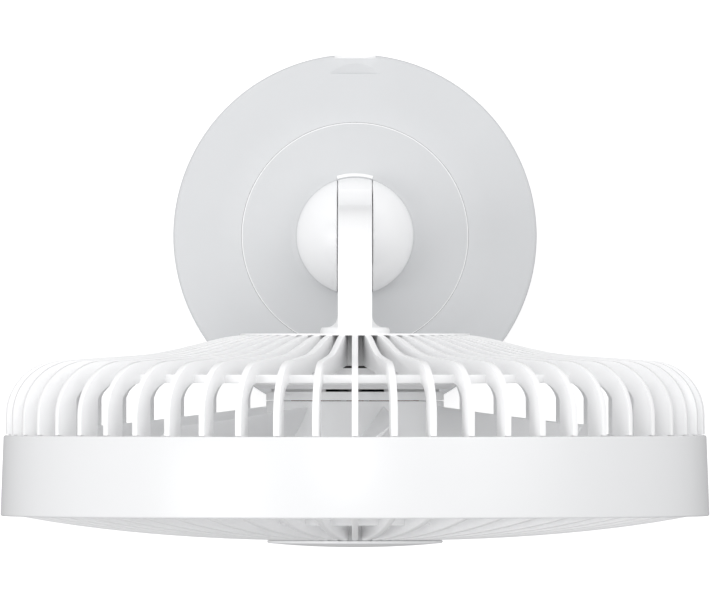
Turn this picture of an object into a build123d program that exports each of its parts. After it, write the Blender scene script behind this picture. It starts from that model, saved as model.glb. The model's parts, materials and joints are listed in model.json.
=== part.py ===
from build123d import *
from math import acos, cos, degrees, pi, radians, sin, sqrt, tan
import os

# Desk fan: a ribbed head on a narrow neck, which tilts in a slotted dome on a round base.
# Row frame: origin at the centre of the base, level with the underside of the feet.
# +Z is up and the fan blows towards -Y.  All sizes are millimetres.

# ---------------------------------------------------------------- driving dimensions
base_radius = 85.8
seam_radius = 53.5            # circle where the swivelling top meets the base
seam_height = 24.8            # height of the base's surface at that circle
surface_slope = tan(radians(12))
dome_radius = 29.0
pivot_height = 34.0           # tilt axle, at the dome's centre
neck_width = 16.0
neck_depth = 28.0
neck_bend = 40.0              # centre-line radius of the bend behind the head
neck_reach = 45.8             # tilt axle back to the head's rear plate
head_height = 202.0           # head's axis above the table

grille_radius = 162.9         # outside of the ribs, where they run straight
rib_count = 56
rib_thickness = 2.9
band_rear_radius = 163.6
band_front_radius = 165.0
band_start = 47.3             # depths are measured forwards from the head's rear plate
band_end = 84.9
impeller_radius = 123.0
hub_radius = 41.3
blade_count = 7

# ---------------------------------------------------------------- clearances and fits
running_gap = 0.05            # radial, shaft in its hole
slide_gap = 0.3               # between covers that turn past each other
seat_gap = 0.1                # loose seat of one fixed piece in another
screw_gap = 0.05              # plain hole round a screw's thread

# ---------------------------------------------------------------- frames of reference
head_axis = Axis((0, -neck_reach, head_height), (0, -1, 0))

# Local x is +X, local y is +Z and local z is the depth into the head.
head_plane = Plane(origin=(0, -neck_reach, head_height), x_dir=(1, 0, 0), z_dir=(0, -1, 0))

# Section through the head's axis: local x is the radius and local y the depth.
head_section = Plane(origin=(0, -neck_reach, head_height), x_dir=(1, 0, 0), z_dir=(0, 0, -1))


def upright(angle=0.0):
    """Section through the base's axis: local x is the radius and local y the height."""
    across = (cos(radians(angle)), sin(radians(angle)), 0)
    normal = (sin(radians(angle)), -cos(radians(angle)), 0)
    return Plane(origin=(0, 0, 0), x_dir=across, z_dir=normal)


def surface_height(radius):
    """Height of the base's shallow cone at a radius."""
    return seam_height + (seam_radius - radius) * surface_slope


def ring_profile(inner, outer, low, high):
    """Rectangle that revolves into a ring."""
    with Locations((inner, low)):
        Rectangle(outer - inner, high - low, align=(Align.MIN, Align.MIN))


def make_screw(pan_radius, pan_height, shank_radius, shank_length):
    """Pan-head screw with a cross recess: its head below XY, its shank along +Z."""
    recess_length = 1.1 * pan_radius
    recess_width = 0.28 * pan_radius
    with BuildPart() as screw:
        with BuildSketch(Plane.XY.offset(-pan_height)):
            Circle(pan_radius)
        extrude(amount=pan_height)
        chamfer(screw.edges().group_by(Axis.Z)[0], length=0.3 * pan_height)
        with BuildSketch(Plane.XY):
            Circle(shank_radius)
        extrude(amount=shank_length)
        with BuildSketch(Plane.XY.offset(-pan_height)):
            Rectangle(recess_length, recess_width)
            Rectangle(recess_width, recess_length)
        extrude(amount=0.6 * pan_height, mode=Mode.SUBTRACT)
    return screw.part


# ================================================================ base (stands still)
wall = 2.4
foot_proud = 2.0
foot_sunk = 1.0
foot_radius = 7.0
foot_circle = 72.0
foot_count = 6
plate_thickness = 3.0
plate_top = foot_proud + plate_thickness
plate_radius = base_radius - wall - slide_gap
lead_hole_radius = 17.0        # the leads pass through the middle of the plate
skirt_bottom = foot_proud + 0.4
rim_height = surface_height(base_radius)
rim_round = 2.0
wall_drop = wall / cos(radians(12))
boss_cover = 0.5              # plastic left over the top of a boss

# Oscillation gears.  The ring is on the swivelling top, the pinion on the motor.
gear_module = 1.25
ring_teeth = 74
pinion_teeth = 12
backlash = 0.3
pressure_angle = radians(20)
addendum = 1.0
dedendum = 1.4
ring_pitch_radius = gear_module * ring_teeth / 2
pinion_pitch_radius = gear_module * pinion_teeth / 2
pinion_distance = ring_pitch_radius + pinion_pitch_radius
gear_bottom = 15.2
gear_height = 4.2
gear_top = gear_bottom + gear_height

# Screws up through the ring gear hold it and the frame to the swivelling cover.
top_screw_circle = 41.0
top_screw_count = 4
top_screw_radius = 1.5
top_screw_head = 2.8
top_screw_head_height = 1.6

# The swivel's sleeve turns in a plastic ring on the base plate.
sleeve_radius = 33.0
sleeve_wall = 3.0
sleeve_bottom = 6.0
bearing_radius = 36.0
bearing_flange = 39.0
bearing_flange_top = gear_bottom - seat_gap
bearing_flange_thickness = 0.9
bearing_bottom = 7.8
collar_wall = 2.8

base_screw_circle = 75.0
base_screw_angle = 30.0       # up from the X axis, on all four sides
base_screw_across = 2 * base_screw_circle * cos(radians(base_screw_angle))
base_screw_along = 2 * base_screw_circle * sin(radians(base_screw_angle))
base_screw_radius = 1.7
base_screw_head = 3.4
base_screw_head_height = 1.5
base_screw_length = 9.0
base_boss_radius = 3.6

weight_inner = bearing_flange + collar_wall
weight_outer = 71.0
weight_thickness = 9.2

step_motor_radius = 12.0
step_motor_top = 14.0
step_motor_ear = 17.5
step_ear_thickness = 1.0
step_shaft_radius = 2.5
step_screw_radius = 1.5

inlet_width = 19.0
inlet_length = 18.4
inlet_face = base_radius - 0.2
inlet_front = inlet_face - inlet_length
inlet_bottom = plate_top
inlet_height = 9.6
inlet_notch = base_radius - 1.9   # the rim is cut down to the inlet outside this line
socket_radius = 3.2
socket_depth = 9.5
socket_pin_radius = 1.0

button_circle = 69.0
button_step = 19.0            # degrees from one button to the next
button_radius = 5.5
button_gap = 0.25
button_proud = 1.0
button_flange = 6.7
button_flange_thickness = 1.0
button_stem = 2.0
button_stem_length = 1.4
button_names = ("power_button", "speed_button", "swing_button", "timer_button")
button_angles = [-90 + (i - 1.5) * button_step for i in range(len(button_names))]

board_inner = 60.0
board_outer = 78.0
board_thickness = 1.6
board_top = 10.4
board_span = 76.0
switch_size = 6.0
switch_height = 3.4
board_post_radius = 2.6
board_screw_radius = 1.1
board_screw_head = 2.0


def button_plane(angle):
    """Plane on the sloping surface under a button, local z square to the surface."""
    spot = Vector(button_circle, 0, surface_height(button_circle)).rotate(Axis.Z, angle)
    tilt = radians(12)
    normal = Vector(sin(tilt), 0, cos(tilt)).rotate(Axis.Z, angle)
    return Plane(origin=spot, z_dir=normal)


with BuildPart() as base_plate:
    with BuildSketch(Plane.XY.offset(foot_proud)):
        Circle(plate_radius)
        Circle(lead_hole_radius, mode=Mode.SUBTRACT)
    extrude(amount=plate_thickness)
    chamfer(base_plate.edges().group_by(Axis.Z)[0].sort_by(SortBy.LENGTH)[-1], length=0.6)
    with BuildSketch(upright()):
        ring_profile(
            bearing_radius + seat_gap,
            bearing_flange,
            plate_top,
            bearing_flange_top - bearing_flange_thickness,
        )
    revolve(axis=Axis.Z)
    with BuildSketch(Plane.XY.offset(foot_proud)):
        with PolarLocations(foot_circle, foot_count):
            Circle(foot_radius + seat_gap)
    extrude(amount=foot_sunk, mode=Mode.SUBTRACT)
    with BuildSketch(Plane.XY.offset(foot_proud)):
        with GridLocations(base_screw_across, base_screw_along, 2, 2):
            Circle(base_screw_head + seat_gap)
    extrude(amount=base_screw_head_height + seat_gap, mode=Mode.SUBTRACT)
    with BuildSketch(Plane.XY.offset(foot_proud)):
        with GridLocations(base_screw_across, base_screw_along, 2, 2):
            Circle(base_screw_radius + seat_gap)
        with Locations(
            (pinion_distance, step_motor_ear),
            (pinion_distance, -step_motor_ear),
        ):
            Circle(step_screw_radius + screw_gap)
    extrude(amount=plate_thickness, mode=Mode.SUBTRACT)

with BuildPart() as rubber_feet:
    with BuildSketch(Plane.XY):
        with PolarLocations(foot_circle, foot_count):
            Circle(foot_radius)
    extrude(amount=foot_proud + foot_sunk)
    chamfer(rubber_feet.edges().group_by(Axis.Z)[0], length=0.6)

base_screw = make_screw(
    base_screw_head, base_screw_head_height, base_screw_radius, base_screw_length
)
with BuildPart() as base_screws:
    with Locations((0, 0, foot_proud + base_screw_head_height + seat_gap)):
        with GridLocations(base_screw_across, base_screw_along, 2, 2):
            add(base_screw)

# The scoop is a shallow round hollow whose inner side is cut off by an upright wall.
scoop_wall = base_radius - 9.2
scoop_edge = base_radius - 4.0
scoop_plan_radius = 20.1
scoop_ball_radius = 60.0
scoop_centre = scoop_edge - scoop_plan_radius
scoop_lift = sqrt(scoop_ball_radius**2 - scoop_plan_radius**2)
scoop_pad = 1.6
with BuildPart() as scoop_tool:
    with Locations(
        (
            0,
            scoop_centre + scoop_lift * sin(radians(12)),
            surface_height(scoop_centre) + scoop_lift * cos(radians(12)),
        )
    ):
        Sphere(scoop_ball_radius)
    split(bisect_by=Plane.XZ.offset(-scoop_wall), keep=Keep.BOTTOM)

with BuildPart() as base_cover:
    with BuildSketch(upright()):
        with BuildLine():
            Polyline(
                (base_radius, skirt_bottom),
                (base_radius, rim_height),
                (seam_radius + slide_gap / 2, surface_height(seam_radius + slide_gap / 2)),
                (seam_radius + slide_gap / 2, seam_height - 2 * wall),
                (seam_radius + slide_gap / 2 + wall, seam_height - 2 * wall),
                (
                    seam_radius + slide_gap / 2 + wall,
                    surface_height(seam_radius + slide_gap / 2 + wall) - wall_drop,
                ),
                (base_radius - wall, surface_height(base_radius - wall) - wall_drop),
                (base_radius - wall, skirt_bottom),
                close=True,
            )
        make_face()
    revolve(axis=Axis.Z)
    rim_edge = base_cover.edges().filter_by(GeomType.CIRCLE)
    fillet(
        rim_edge.filter_by_position(Axis.Z, rim_height - 0.1, rim_height + 0.1),
        radius=rim_round,
    )
    # Pad that keeps the wall whole under the scoop.
    with BuildSketch(Plane.XY.offset(surface_height(scoop_edge) - wall - scoop_pad)):
        with Locations((0, (scoop_wall + scoop_edge) / 2)):
            Rectangle(2 * scoop_plan_radius, scoop_edge - scoop_wall + 2)
    extrude(amount=scoop_pad + wall / 2)
    # Bosses for the base screws, and posts that hold the control board.
    with BuildSketch(Plane.XY.offset(plate_top)):
        with GridLocations(base_screw_across, base_screw_along, 2, 2):
            Circle(base_boss_radius)
    extrude(amount=surface_height(base_screw_circle + base_boss_radius) - boss_cover - plate_top)
    with BuildSketch(Plane.XY.offset(board_top)):
        with PolarLocations(
            button_circle, 3, start_angle=-90 - button_step, angular_range=2 * button_step,
            endpoint=True,
        ):
            Circle(board_post_radius)
    extrude(amount=surface_height(button_circle + board_post_radius) - boss_cover - board_top)
    with BuildSketch(Plane.XY.offset(board_top)):
        with PolarLocations(
            button_circle, 3, start_angle=-90 - button_step, angular_range=2 * button_step,
            endpoint=True,
        ):
            Circle(board_screw_radius + screw_gap)
    extrude(amount=5, mode=Mode.SUBTRACT)
    with BuildSketch(Plane.XY.offset(plate_top)):
        with GridLocations(base_screw_across, base_screw_along, 2, 2):
            Circle(base_screw_radius + screw_gap)
    extrude(amount=base_screw_length, mode=Mode.SUBTRACT)
    # Notch in the rim for the inlet, and the scoop.
    for inner_side, top in (
        (inlet_notch, rim_height + 1),
        (base_radius - 2 * wall, inlet_bottom + inlet_height + seat_gap),
    ):
        with BuildSketch(Plane.XY.offset(skirt_bottom)):
            with Locations((0, inner_side)):
                Rectangle(
                    inlet_width + 2 * seat_gap,
                    base_radius,
                    align=(Align.CENTER, Align.MIN),
                )
        extrude(amount=top - skirt_bottom, mode=Mode.SUBTRACT)
    add(scoop_tool.part, mode=Mode.SUBTRACT)
    for angle in button_angles:
        with BuildSketch(button_plane(angle).offset(-2 * wall)):
            Circle(button_radius + button_gap)
        extrude(amount=4 * wall, mode=Mode.SUBTRACT)

buttons = {}
for button_name, angle in zip(button_names, button_angles):
    spot = button_plane(angle)
    flange_top = -wall - seat_gap
    with BuildPart() as button:
        with BuildSketch(spot.offset(flange_top)):
            Circle(button_radius)
        extrude(amount=button_proud - flange_top)
        fillet(button.faces().sort_by(Axis(spot.origin, spot.z_dir))[-1].edges(), radius=0.6)
        with BuildSketch(spot.offset(flange_top - button_flange_thickness)):
            Circle(button_flange)
        extrude(amount=button_flange_thickness)
        with BuildSketch(spot.offset(flange_top - button_flange_thickness - button_stem_length)):
            Circle(button_stem)
        extrude(amount=button_stem_length)
    buttons[button_name] = button

with BuildPart() as control_board:
    with BuildSketch(upright(-90 - board_span / 2)):
        ring_profile(board_inner, board_outer, board_top - board_thickness, board_top)
    revolve(axis=Axis.Z, revolution_arc=board_span)
    with BuildSketch(Plane.XY.offset(board_top)):
        with PolarLocations(
            button_circle, 3, start_angle=-90 - button_step, angular_range=2 * button_step,
            endpoint=True,
        ):
            Circle(board_screw_radius + seat_gap)
    extrude(amount=-board_thickness, mode=Mode.SUBTRACT)

with BuildPart() as key_switches:
    for angle in button_angles:
        place = Plane.XY.offset(board_top).rotated((0, 0, angle))
        with BuildSketch(place):
            with Locations((button_circle - 1.2, 0)):
                Rectangle(switch_size, switch_size)
        extrude(amount=switch_height)

board_screw = make_screw(board_screw_head, 1.2, board_screw_radius, 5.5)
with BuildPart() as board_screws:
    with Locations((0, 0, board_top - board_thickness)):
        with PolarLocations(
            button_circle, 3, start_angle=-90 - button_step, angular_range=2 * button_step,
            endpoint=True,
        ):
            add(board_screw)

with BuildPart() as counterweight:
    with BuildSketch(Plane.XY.offset(plate_top)):
        Circle(weight_outer)
        Circle(weight_inner, mode=Mode.SUBTRACT)
        with Locations((pinion_distance, 0)):
            Circle(step_motor_radius + 1, mode=Mode.SUBTRACT)
            Rectangle(10, 2 * step_motor_ear + 10, mode=Mode.SUBTRACT)
        with Locations((0, weight_outer)):
            Rectangle(inlet_width + 3, 2 * (weight_outer - inlet_front + 1), mode=Mode.SUBTRACT)
    extrude(amount=weight_thickness)
    with BuildSketch(upright(-90 - board_span / 2 - 3)):
        ring_profile(board_inner - 2, weight_outer + 5, plate_top - 1, gear_bottom)
    revolve(axis=Axis.Z, revolution_arc=board_span + 6, mode=Mode.SUBTRACT)

with BuildPart() as bearing_ring:
    with BuildSketch(upright()):
        ring_profile(
            sleeve_radius + running_gap, bearing_radius, bearing_bottom, bearing_flange_top
        )
        ring_profile(
            sleeve_radius + running_gap,
            bearing_flange,
            bearing_flange_top - bearing_flange_thickness,
            bearing_flange_top,
        )
    revolve(axis=Axis.Z)

with BuildPart() as swing_motor:
    with BuildSketch(Plane.XY.offset(plate_top)):
        with Locations((pinion_distance, 0)):
            Circle(step_motor_radius)
    extrude(amount=step_motor_top - plate_top)
    fillet(swing_motor.edges().group_by(Axis.Z)[-1], radius=1.0)
    with BuildSketch(Plane.XY.offset(plate_top)):
        with Locations((pinion_distance, 0)):
            SlotOverall(2 * step_motor_ear + 7, 7, rotation=90)
    extrude(amount=step_ear_thickness)
    with BuildSketch(Plane.XY.offset(plate_top)):
        with Locations(
            (pinion_distance, step_motor_ear),
            (pinion_distance, -step_motor_ear),
        ):
            Circle(step_screw_radius + seat_gap)
    extrude(amount=step_ear_thickness, mode=Mode.SUBTRACT)
    with BuildSketch(Plane.XY.offset(step_motor_top)):
        with Locations((pinion_distance, 0)):
            Circle(step_shaft_radius + running_gap)
    extrude(amount=-6.0, mode=Mode.SUBTRACT)

step_screw = make_screw(2.8, 1.6, step_screw_radius, plate_thickness + step_ear_thickness)
with BuildPart() as swing_motor_screws:
    with Locations(
        (pinion_distance, step_motor_ear, plate_top + step_ear_thickness),
        (pinion_distance, -step_motor_ear, plate_top + step_ear_thickness),
    ):
        with Locations(Rotation(180, 0, 0)):
            add(step_screw)

with BuildPart() as dc_inlet:
    with BuildSketch(Plane.XY.offset(inlet_bottom)):
        with Locations((0, (inlet_front + inlet_face) / 2)):
            Rectangle(inlet_width, inlet_face - inlet_front)
    extrude(amount=inlet_height)
    outer_top = dc_inlet.edges().group_by(Axis.Z)[-1].sort_by(Axis.Y)[-1]
    chamfer(outer_top, length=1.2)
    with BuildSketch(Plane.XZ.offset(-inlet_face)):
        with Locations((0, inlet_bottom + inlet_height / 2)):
            Circle(socket_radius)
    extrude(amount=socket_depth, mode=Mode.SUBTRACT)

with BuildPart() as dc_pin:
    with BuildSketch(Plane.XZ.offset(-(inlet_face - socket_depth))):
        with Locations((0, inlet_bottom + inlet_height / 2)):
            Circle(socket_pin_radius)
    extrude(amount=-(socket_depth - 1.5))

# ================================================================ oscillation gears


def involute(angle):
    return tan(angle) - angle


def gear_outline(teeth, first_angle):
    """Corner points of a spur gear: root, pitch line and tip of each flank."""
    pitch_radius = gear_module * teeth / 2
    base_circle = pitch_radius * cos(pressure_angle)
    half_tooth = (pi * gear_module / 2 - backlash) / 2 / pitch_radius
    flank = []
    for radius in (pitch_radius - dedendum, pitch_radius, pitch_radius + addendum):
        roll = acos(base_circle / max(radius, base_circle))
        flank.append((radius, half_tooth + involute(pressure_angle) - involute(roll)))
    points = []
    for tooth in range(teeth):
        middle = radians(first_angle) + 2 * pi * tooth / teeth
        sides = [(radius, middle - turn) for radius, turn in flank]
        sides += [(radius, middle + turn) for radius, turn in reversed(flank)]
        points += [(radius * cos(turn), radius * sin(turn)) for radius, turn in sides]
    return points


with BuildPart() as ring_gear:
    with BuildSketch(Plane.XY.offset(gear_bottom)):
        with BuildLine():
            Polyline(*gear_outline(ring_teeth, 0), close=True)
        make_face()
        Circle(sleeve_radius, mode=Mode.SUBTRACT)
        with PolarLocations(top_screw_circle, top_screw_count, start_angle=45):
            Circle(top_screw_radius + seat_gap, mode=Mode.SUBTRACT)
    extrude(amount=gear_height)
    with BuildSketch(Plane.XY.offset(gear_bottom)):
        with PolarLocations(top_screw_circle, top_screw_count, start_angle=45):
            Circle(top_screw_head + seat_gap)
    extrude(amount=top_screw_head_height + 2 * seat_gap, mode=Mode.SUBTRACT)

with BuildPart() as drive_pinion:
    with BuildSketch(Plane.XY.offset(gear_bottom + 0.2)):
        with BuildLine():
            Polyline(*gear_outline(pinion_teeth, 180 / pinion_teeth), close=True)
        make_face()
        Circle(step_shaft_radius, mode=Mode.SUBTRACT)
    extrude(amount=gear_height - 0.6)
drive_pinion.part = drive_pinion.part.moved(Location((pinion_distance, 0, 0)))

with BuildPart() as pinion_shaft:
    with BuildSketch(Plane.XY.offset(step_motor_top - 5.0)):
        with Locations((pinion_distance, 0)):
            Circle(step_shaft_radius)
    extrude(amount=gear_top - 0.6 - step_motor_top + 5.0)

# ================================================================ swivelling top
frame_top = gear_top + 2.0
frame_radius = 50.0
frame_floor = 2.5
cheek_inner = 9.6
cheek_thickness = 4.0
cheek_radius = 11.0
slot_half_width = neck_width / 2 + 0.4
slot_end = dome_radius + 0.1
lip_outer = slot_end + 1.8
lip_rise = 1.0
axle_radius = 4.0
washer_radius = 11.6
top_boss_radius = 3.4
dome_fillet = 3.0
wheel_gap = 0.3

cover_edge = seam_radius - slide_gap / 2
dome_foot = surface_height(dome_radius)
seam_angle = 20               # round faces start here, clear of the slot and the bosses

with BuildPart() as turntable_cover:
    with BuildSketch(upright(seam_angle)):
        with BuildLine():
            Polyline(
                (0, seam_height - 2 * wall),
                (0, surface_height(0)),
                (cover_edge, surface_height(cover_edge)),
                (cover_edge, seam_height - 2 * wall),
                close=True,
            )
        make_face()
    revolve(axis=Axis.Z)
    with Locations(Location((0, 0, pivot_height), (0, 0, seam_angle))):
        Sphere(dome_radius)
    foot_edges = turntable_cover.edges().filter_by(GeomType.CIRCLE)
    fillet(
        foot_edges.filter_by_position(Axis.Z, dome_foot - 0.5, dome_foot + 0.5),
        radius=dome_fillet,
    )
    # Hollow inside: the same cone and ball, a wall thickness in.
    with BuildSketch(upright(seam_angle)):
        with BuildLine():
            Polyline(
                (0, 0),
                (0, surface_height(0) - wall_drop),
                (cover_edge + 1, surface_height(cover_edge + 1) - wall_drop),
                (cover_edge + 1, 0),
                close=True,
            )
        make_face()
    revolve(axis=Axis.Z, mode=Mode.SUBTRACT)
    with Locations(Location((0, 0, pivot_height), (0, 0, seam_angle))):
        Sphere(dome_radius - wall, mode=Mode.SUBTRACT)
    # Slot for the neck's wheel, with a raised lip along its rear end.
    with BuildSketch(Plane.XY.offset(surface_height(lip_outer) - lip_rise)):
        Circle(lip_outer)
        with Locations((0, lip_outer)):
            Rectangle(2 * slot_half_width, lip_outer, mode=Mode.INTERSECT)
    extrude(amount=2 * lip_rise)
    with BuildSketch(Plane.XY):
        Circle(slot_end)
        Rectangle(2 * slot_half_width, 2 * dome_radius + 10, mode=Mode.INTERSECT)
    extrude(amount=pivot_height + dome_radius, mode=Mode.SUBTRACT)
    # Screw bosses on the underside.
    with BuildSketch(Plane.XY.offset(frame_top)):
        with PolarLocations(top_screw_circle, top_screw_count, start_angle=45):
            Circle(top_boss_radius)
    extrude(amount=surface_height(top_screw_circle + top_boss_radius) - boss_cover - frame_top)
    with BuildSketch(Plane.XY.offset(frame_top)):
        with PolarLocations(top_screw_circle, top_screw_count, start_angle=45):
            Circle(top_screw_radius + screw_gap)
    extrude(amount=2.2, mode=Mode.SUBTRACT)

with BuildPart() as turntable_frame:
    with BuildSketch(upright()):
        ring_profile(sleeve_radius - sleeve_wall, sleeve_radius, sleeve_bottom, frame_top)
        ring_profile(sleeve_radius - sleeve_wall, frame_radius, gear_top, frame_top)
        ring_profile(7.0, sleeve_radius, sleeve_bottom, sleeve_bottom + frame_floor)
    revolve(axis=Axis.Z)
    for side in (-1, 1):
        with BuildSketch(Plane.YZ.offset(side * (cheek_inner + cheek_thickness / 2))):
            with Locations((0, pivot_height)):
                Circle(cheek_radius)
            with Locations((0, sleeve_bottom)):
                Rectangle(
                    2 * cheek_radius,
                    pivot_height - sleeve_bottom,
                    align=(Align.CENTER, Align.MIN),
                )
        extrude(amount=cheek_thickness / 2, both=True)
    with BuildSketch(Plane.YZ):
        with Locations((0, pivot_height)):
            Circle(axle_radius + running_gap)
    extrude(amount=50, both=True, mode=Mode.SUBTRACT)
    with BuildSketch(upright()):
        ring_profile(sleeve_radius - 1.2, sleeve_radius + 1, 6.5, 7.7)
    revolve(axis=Axis.Z, mode=Mode.SUBTRACT)
    with BuildSketch(Plane.XY.offset(gear_top)):
        with PolarLocations(top_screw_circle, top_screw_count, start_angle=45):
            Circle(top_screw_radius + seat_gap)
    extrude(amount=3, mode=Mode.SUBTRACT)

with BuildPart() as retaining_ring:
    with BuildSketch(Plane.XY.offset(6.6)):
        Circle(bearing_radius - 0.6)
        Circle(sleeve_radius - 1.1, mode=Mode.SUBTRACT)
        with Locations((bearing_radius, 0)):
            Rectangle(14, 9, mode=Mode.SUBTRACT)
    extrude(amount=1.0)
# ================================================================ tilt joint
axle_head_radius = 7.0
axle_head_height = 3.5
axle_reach = cheek_inner + cheek_thickness
nut_height = 3.6
spring_washer_height = 1.2

with BuildPart() as tilt_axle:
    with BuildSketch(Plane.YZ.offset(-axle_reach)):
        with Locations((0, pivot_height)):
            Circle(axle_radius)
    extrude(amount=2 * axle_reach + spring_washer_height + nut_height + 1.0)
    with BuildSketch(Plane.YZ.offset(-axle_reach - axle_head_height)):
        with Locations((0, pivot_height)):
            RegularPolygon(axle_head_radius, 6)
    extrude(amount=axle_head_height)

with BuildPart() as spring_washer:
    with BuildSketch(Plane.YZ.offset(axle_reach)):
        with Locations((0, pivot_height)):
            Circle(axle_head_radius)
            Circle(axle_radius + seat_gap, mode=Mode.SUBTRACT)
    extrude(amount=spring_washer_height)

with BuildPart() as tilt_nut:
    with BuildSketch(Plane.YZ.offset(axle_reach + spring_washer_height)):
        with Locations((0, pivot_height)):
            RegularPolygon(axle_head_radius, 6)
            Circle(axle_radius + screw_gap, mode=Mode.SUBTRACT)
    extrude(amount=nut_height)

with BuildPart() as friction_washers:
    for side in (-1, 1):
        with BuildSketch(Plane.YZ.offset(side * cheek_inner)):
            with Locations((0, pivot_height)):
                Circle(washer_radius)
                Circle(axle_radius + seat_gap, mode=Mode.SUBTRACT)
        extrude(amount=-side * (cheek_inner - neck_width / 2 - running_gap))

top_screw = make_screw(top_screw_head, top_screw_head_height, top_screw_radius, 6.4)
with BuildPart() as turntable_screws:
    with Locations((0, 0, gear_bottom + top_screw_head_height + 2 * seat_gap)):
        with PolarLocations(top_screw_circle, top_screw_count, start_angle=45):
            add(top_screw)

# ================================================================ neck (tilts)
neck_wall = 2.0
wheel_radius = dome_radius - wheel_gap
wheel_front_end = 130.0       # how far the wheel's rim runs down, from its top
wheel_rear_end = 102.0
spine_width = 2 * (neck_width / 2 - neck_wall) - 0.2
spine_depth = 9.0
spine_hub_radius = 11.0
flare_radius = 5.7
flange_thickness = 2.8
flange_radius = 16.2
heel_radius = 40.0
cover_foot = 68.0
cover_sweep = 72.0
neck_screw_radius = 1.8
neck_screw_head = 2.9
neck_boss_radius = 4.2
head_screw_radius = 1.9
head_screw_pan = 3.4
head_screw_spread = 8.0
bend_height = head_height - neck_bend
half_depth = neck_depth / 2


def neck_outline(inset):
    """Side view of the column and its bend, drawn in from the skin by a distance."""
    depth = half_depth - inset
    outer = neck_bend + depth
    inner = neck_bend - depth
    with BuildLine() as outline:
        Line((depth, pivot_height), (depth, bend_height))
        RadiusArc((depth, bend_height), (-neck_bend, bend_height + outer), -outer)
        Line((-neck_bend, bend_height + outer), (-neck_reach, bend_height + outer))
        Line((-neck_reach, bend_height + outer), (-neck_reach, bend_height + inner))
        Line((-neck_reach, bend_height + inner), (-neck_bend, bend_height + inner))
        RadiusArc((-neck_bend, bend_height + inner), (-depth, bend_height), inner)
        Line((-depth, bend_height), (-depth, pivot_height))
        Line((-depth, pivot_height), (depth, pivot_height))
    return outline.line


def cover_outline(gap):
    """Side view of the strip that closes the neck's front, with a gap all round."""
    front = neck_bend - half_depth
    back = front + neck_wall
    turn = radians(cover_sweep - degrees(gap / front))
    with BuildLine() as outline:
        Line((-half_depth, cover_foot + gap), (-half_depth, bend_height))
        RadiusArc(
            (-half_depth, bend_height),
            (-neck_bend + front * cos(turn), bend_height + front * sin(turn)),
            -front,
        )
        Line(
            (-neck_bend + front * cos(turn), bend_height + front * sin(turn)),
            (-neck_bend + back * cos(turn), bend_height + back * sin(turn)),
        )
        RadiusArc(
            (-neck_bend + back * cos(turn), bend_height + back * sin(turn)),
            (-half_depth + neck_wall, bend_height),
            back,
        )
        Line((-half_depth + neck_wall, bend_height), (-half_depth + neck_wall, cover_foot + gap))
        Line((-half_depth + neck_wall, cover_foot + gap), (-half_depth, cover_foot + gap))
    return outline.line


def wheel_ray(angle):
    """Point far out along a ray from the tilt axle; 0 is up, positive is rearwards."""
    reach = 2 * dome_radius
    return (reach * sin(radians(angle)), pivot_height + reach * cos(radians(angle)))


with BuildPart() as wheel_ball:
    with Locations((0, 0, pivot_height)):
        Sphere(wheel_radius)
    with BuildSketch(Plane.YZ):
        Rectangle(400, 400)
    extrude(amount=neck_width / 2, both=True, mode=Mode.INTERSECT)
    with BuildSketch(Plane.YZ):
        with BuildLine():
            Polyline(
                (0, pivot_height - spine_hub_radius),
                wheel_ray(-wheel_front_end),
                wheel_ray(180),
                wheel_ray(wheel_rear_end),
                close=True,
            )
        make_face()
    extrude(amount=neck_width, both=True, mode=Mode.SUBTRACT)

# The column's rear side runs down onto the wheel in one hollow curve.
heel_centre = (
    half_depth + heel_radius,
    pivot_height + sqrt((wheel_radius + heel_radius) ** 2 - (half_depth + heel_radius) ** 2),
)
heel_share = wheel_radius / (wheel_radius + heel_radius)
heel_foot = (
    heel_centre[0] * heel_share,
    pivot_height + (heel_centre[1] - pivot_height) * heel_share,
)

with BuildPart() as neck_shell:
    with BuildSketch(Plane.YZ):
        add(neck_outline(0))
        make_face()
    extrude(amount=neck_width / 2, both=True)
    add(wheel_ball.part)
    with BuildSketch(Plane.YZ):
        with BuildLine():
            Line((half_depth - neck_wall / 2, pivot_height + spine_hub_radius), heel_foot)
            RadiusArc(heel_foot, (half_depth, heel_centre[1]), heel_radius)
            Line((half_depth, heel_centre[1]), (half_depth - neck_wall / 2, heel_centre[1]))
            Line(
                (half_depth - neck_wall / 2, heel_centre[1]),
                (half_depth - neck_wall / 2, pivot_height + spine_hub_radius),
            )
        make_face()
    extrude(amount=neck_width / 2, both=True)
    with BuildSketch(head_section):
        with BuildLine():
            Polyline(
                (0, -flange_thickness - flare_radius),
                (neck_width / 2, -flange_thickness - flare_radius),
            )
            RadiusArc(
                (neck_width / 2, -flange_thickness - flare_radius),
                (neck_width / 2 + flare_radius, -flange_thickness),
                flare_radius,
            )
            Polyline(
                (neck_width / 2 + flare_radius, -flange_thickness),
                (flange_radius - 0.8, -flange_thickness),
                (flange_radius, -flange_thickness + 1.6),
                (flange_radius, 0),
                (0, 0),
                (0, -flange_thickness - flare_radius),
            )
        make_face()
    revolve(axis=head_axis)
    # Hollow for the spine and the leads, open at the wheel's foot and at the flange.
    with BuildSketch(Plane.YZ):
        add(neck_outline(neck_wall))
        make_face()
    extrude(amount=neck_width / 2 - neck_wall, both=True, mode=Mode.SUBTRACT)
    with BuildSketch(Plane.YZ):
        with Locations((0, pivot_height)):
            Circle(wheel_radius - 1.6 * neck_wall)
    extrude(amount=neck_width / 2 - neck_wall, both=True, mode=Mode.SUBTRACT)
    with BuildSketch(Plane.YZ):
        with Locations((0, pivot_height)):
            Circle(spine_hub_radius + seat_gap)
    extrude(amount=neck_width, both=True, mode=Mode.SUBTRACT)
    # Opening for the front strip.
    with BuildSketch(Plane.YZ):
        add(cover_outline(0))
        make_face()
    extrude(amount=neck_width / 2 - neck_wall, both=True, mode=Mode.SUBTRACT)

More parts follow.
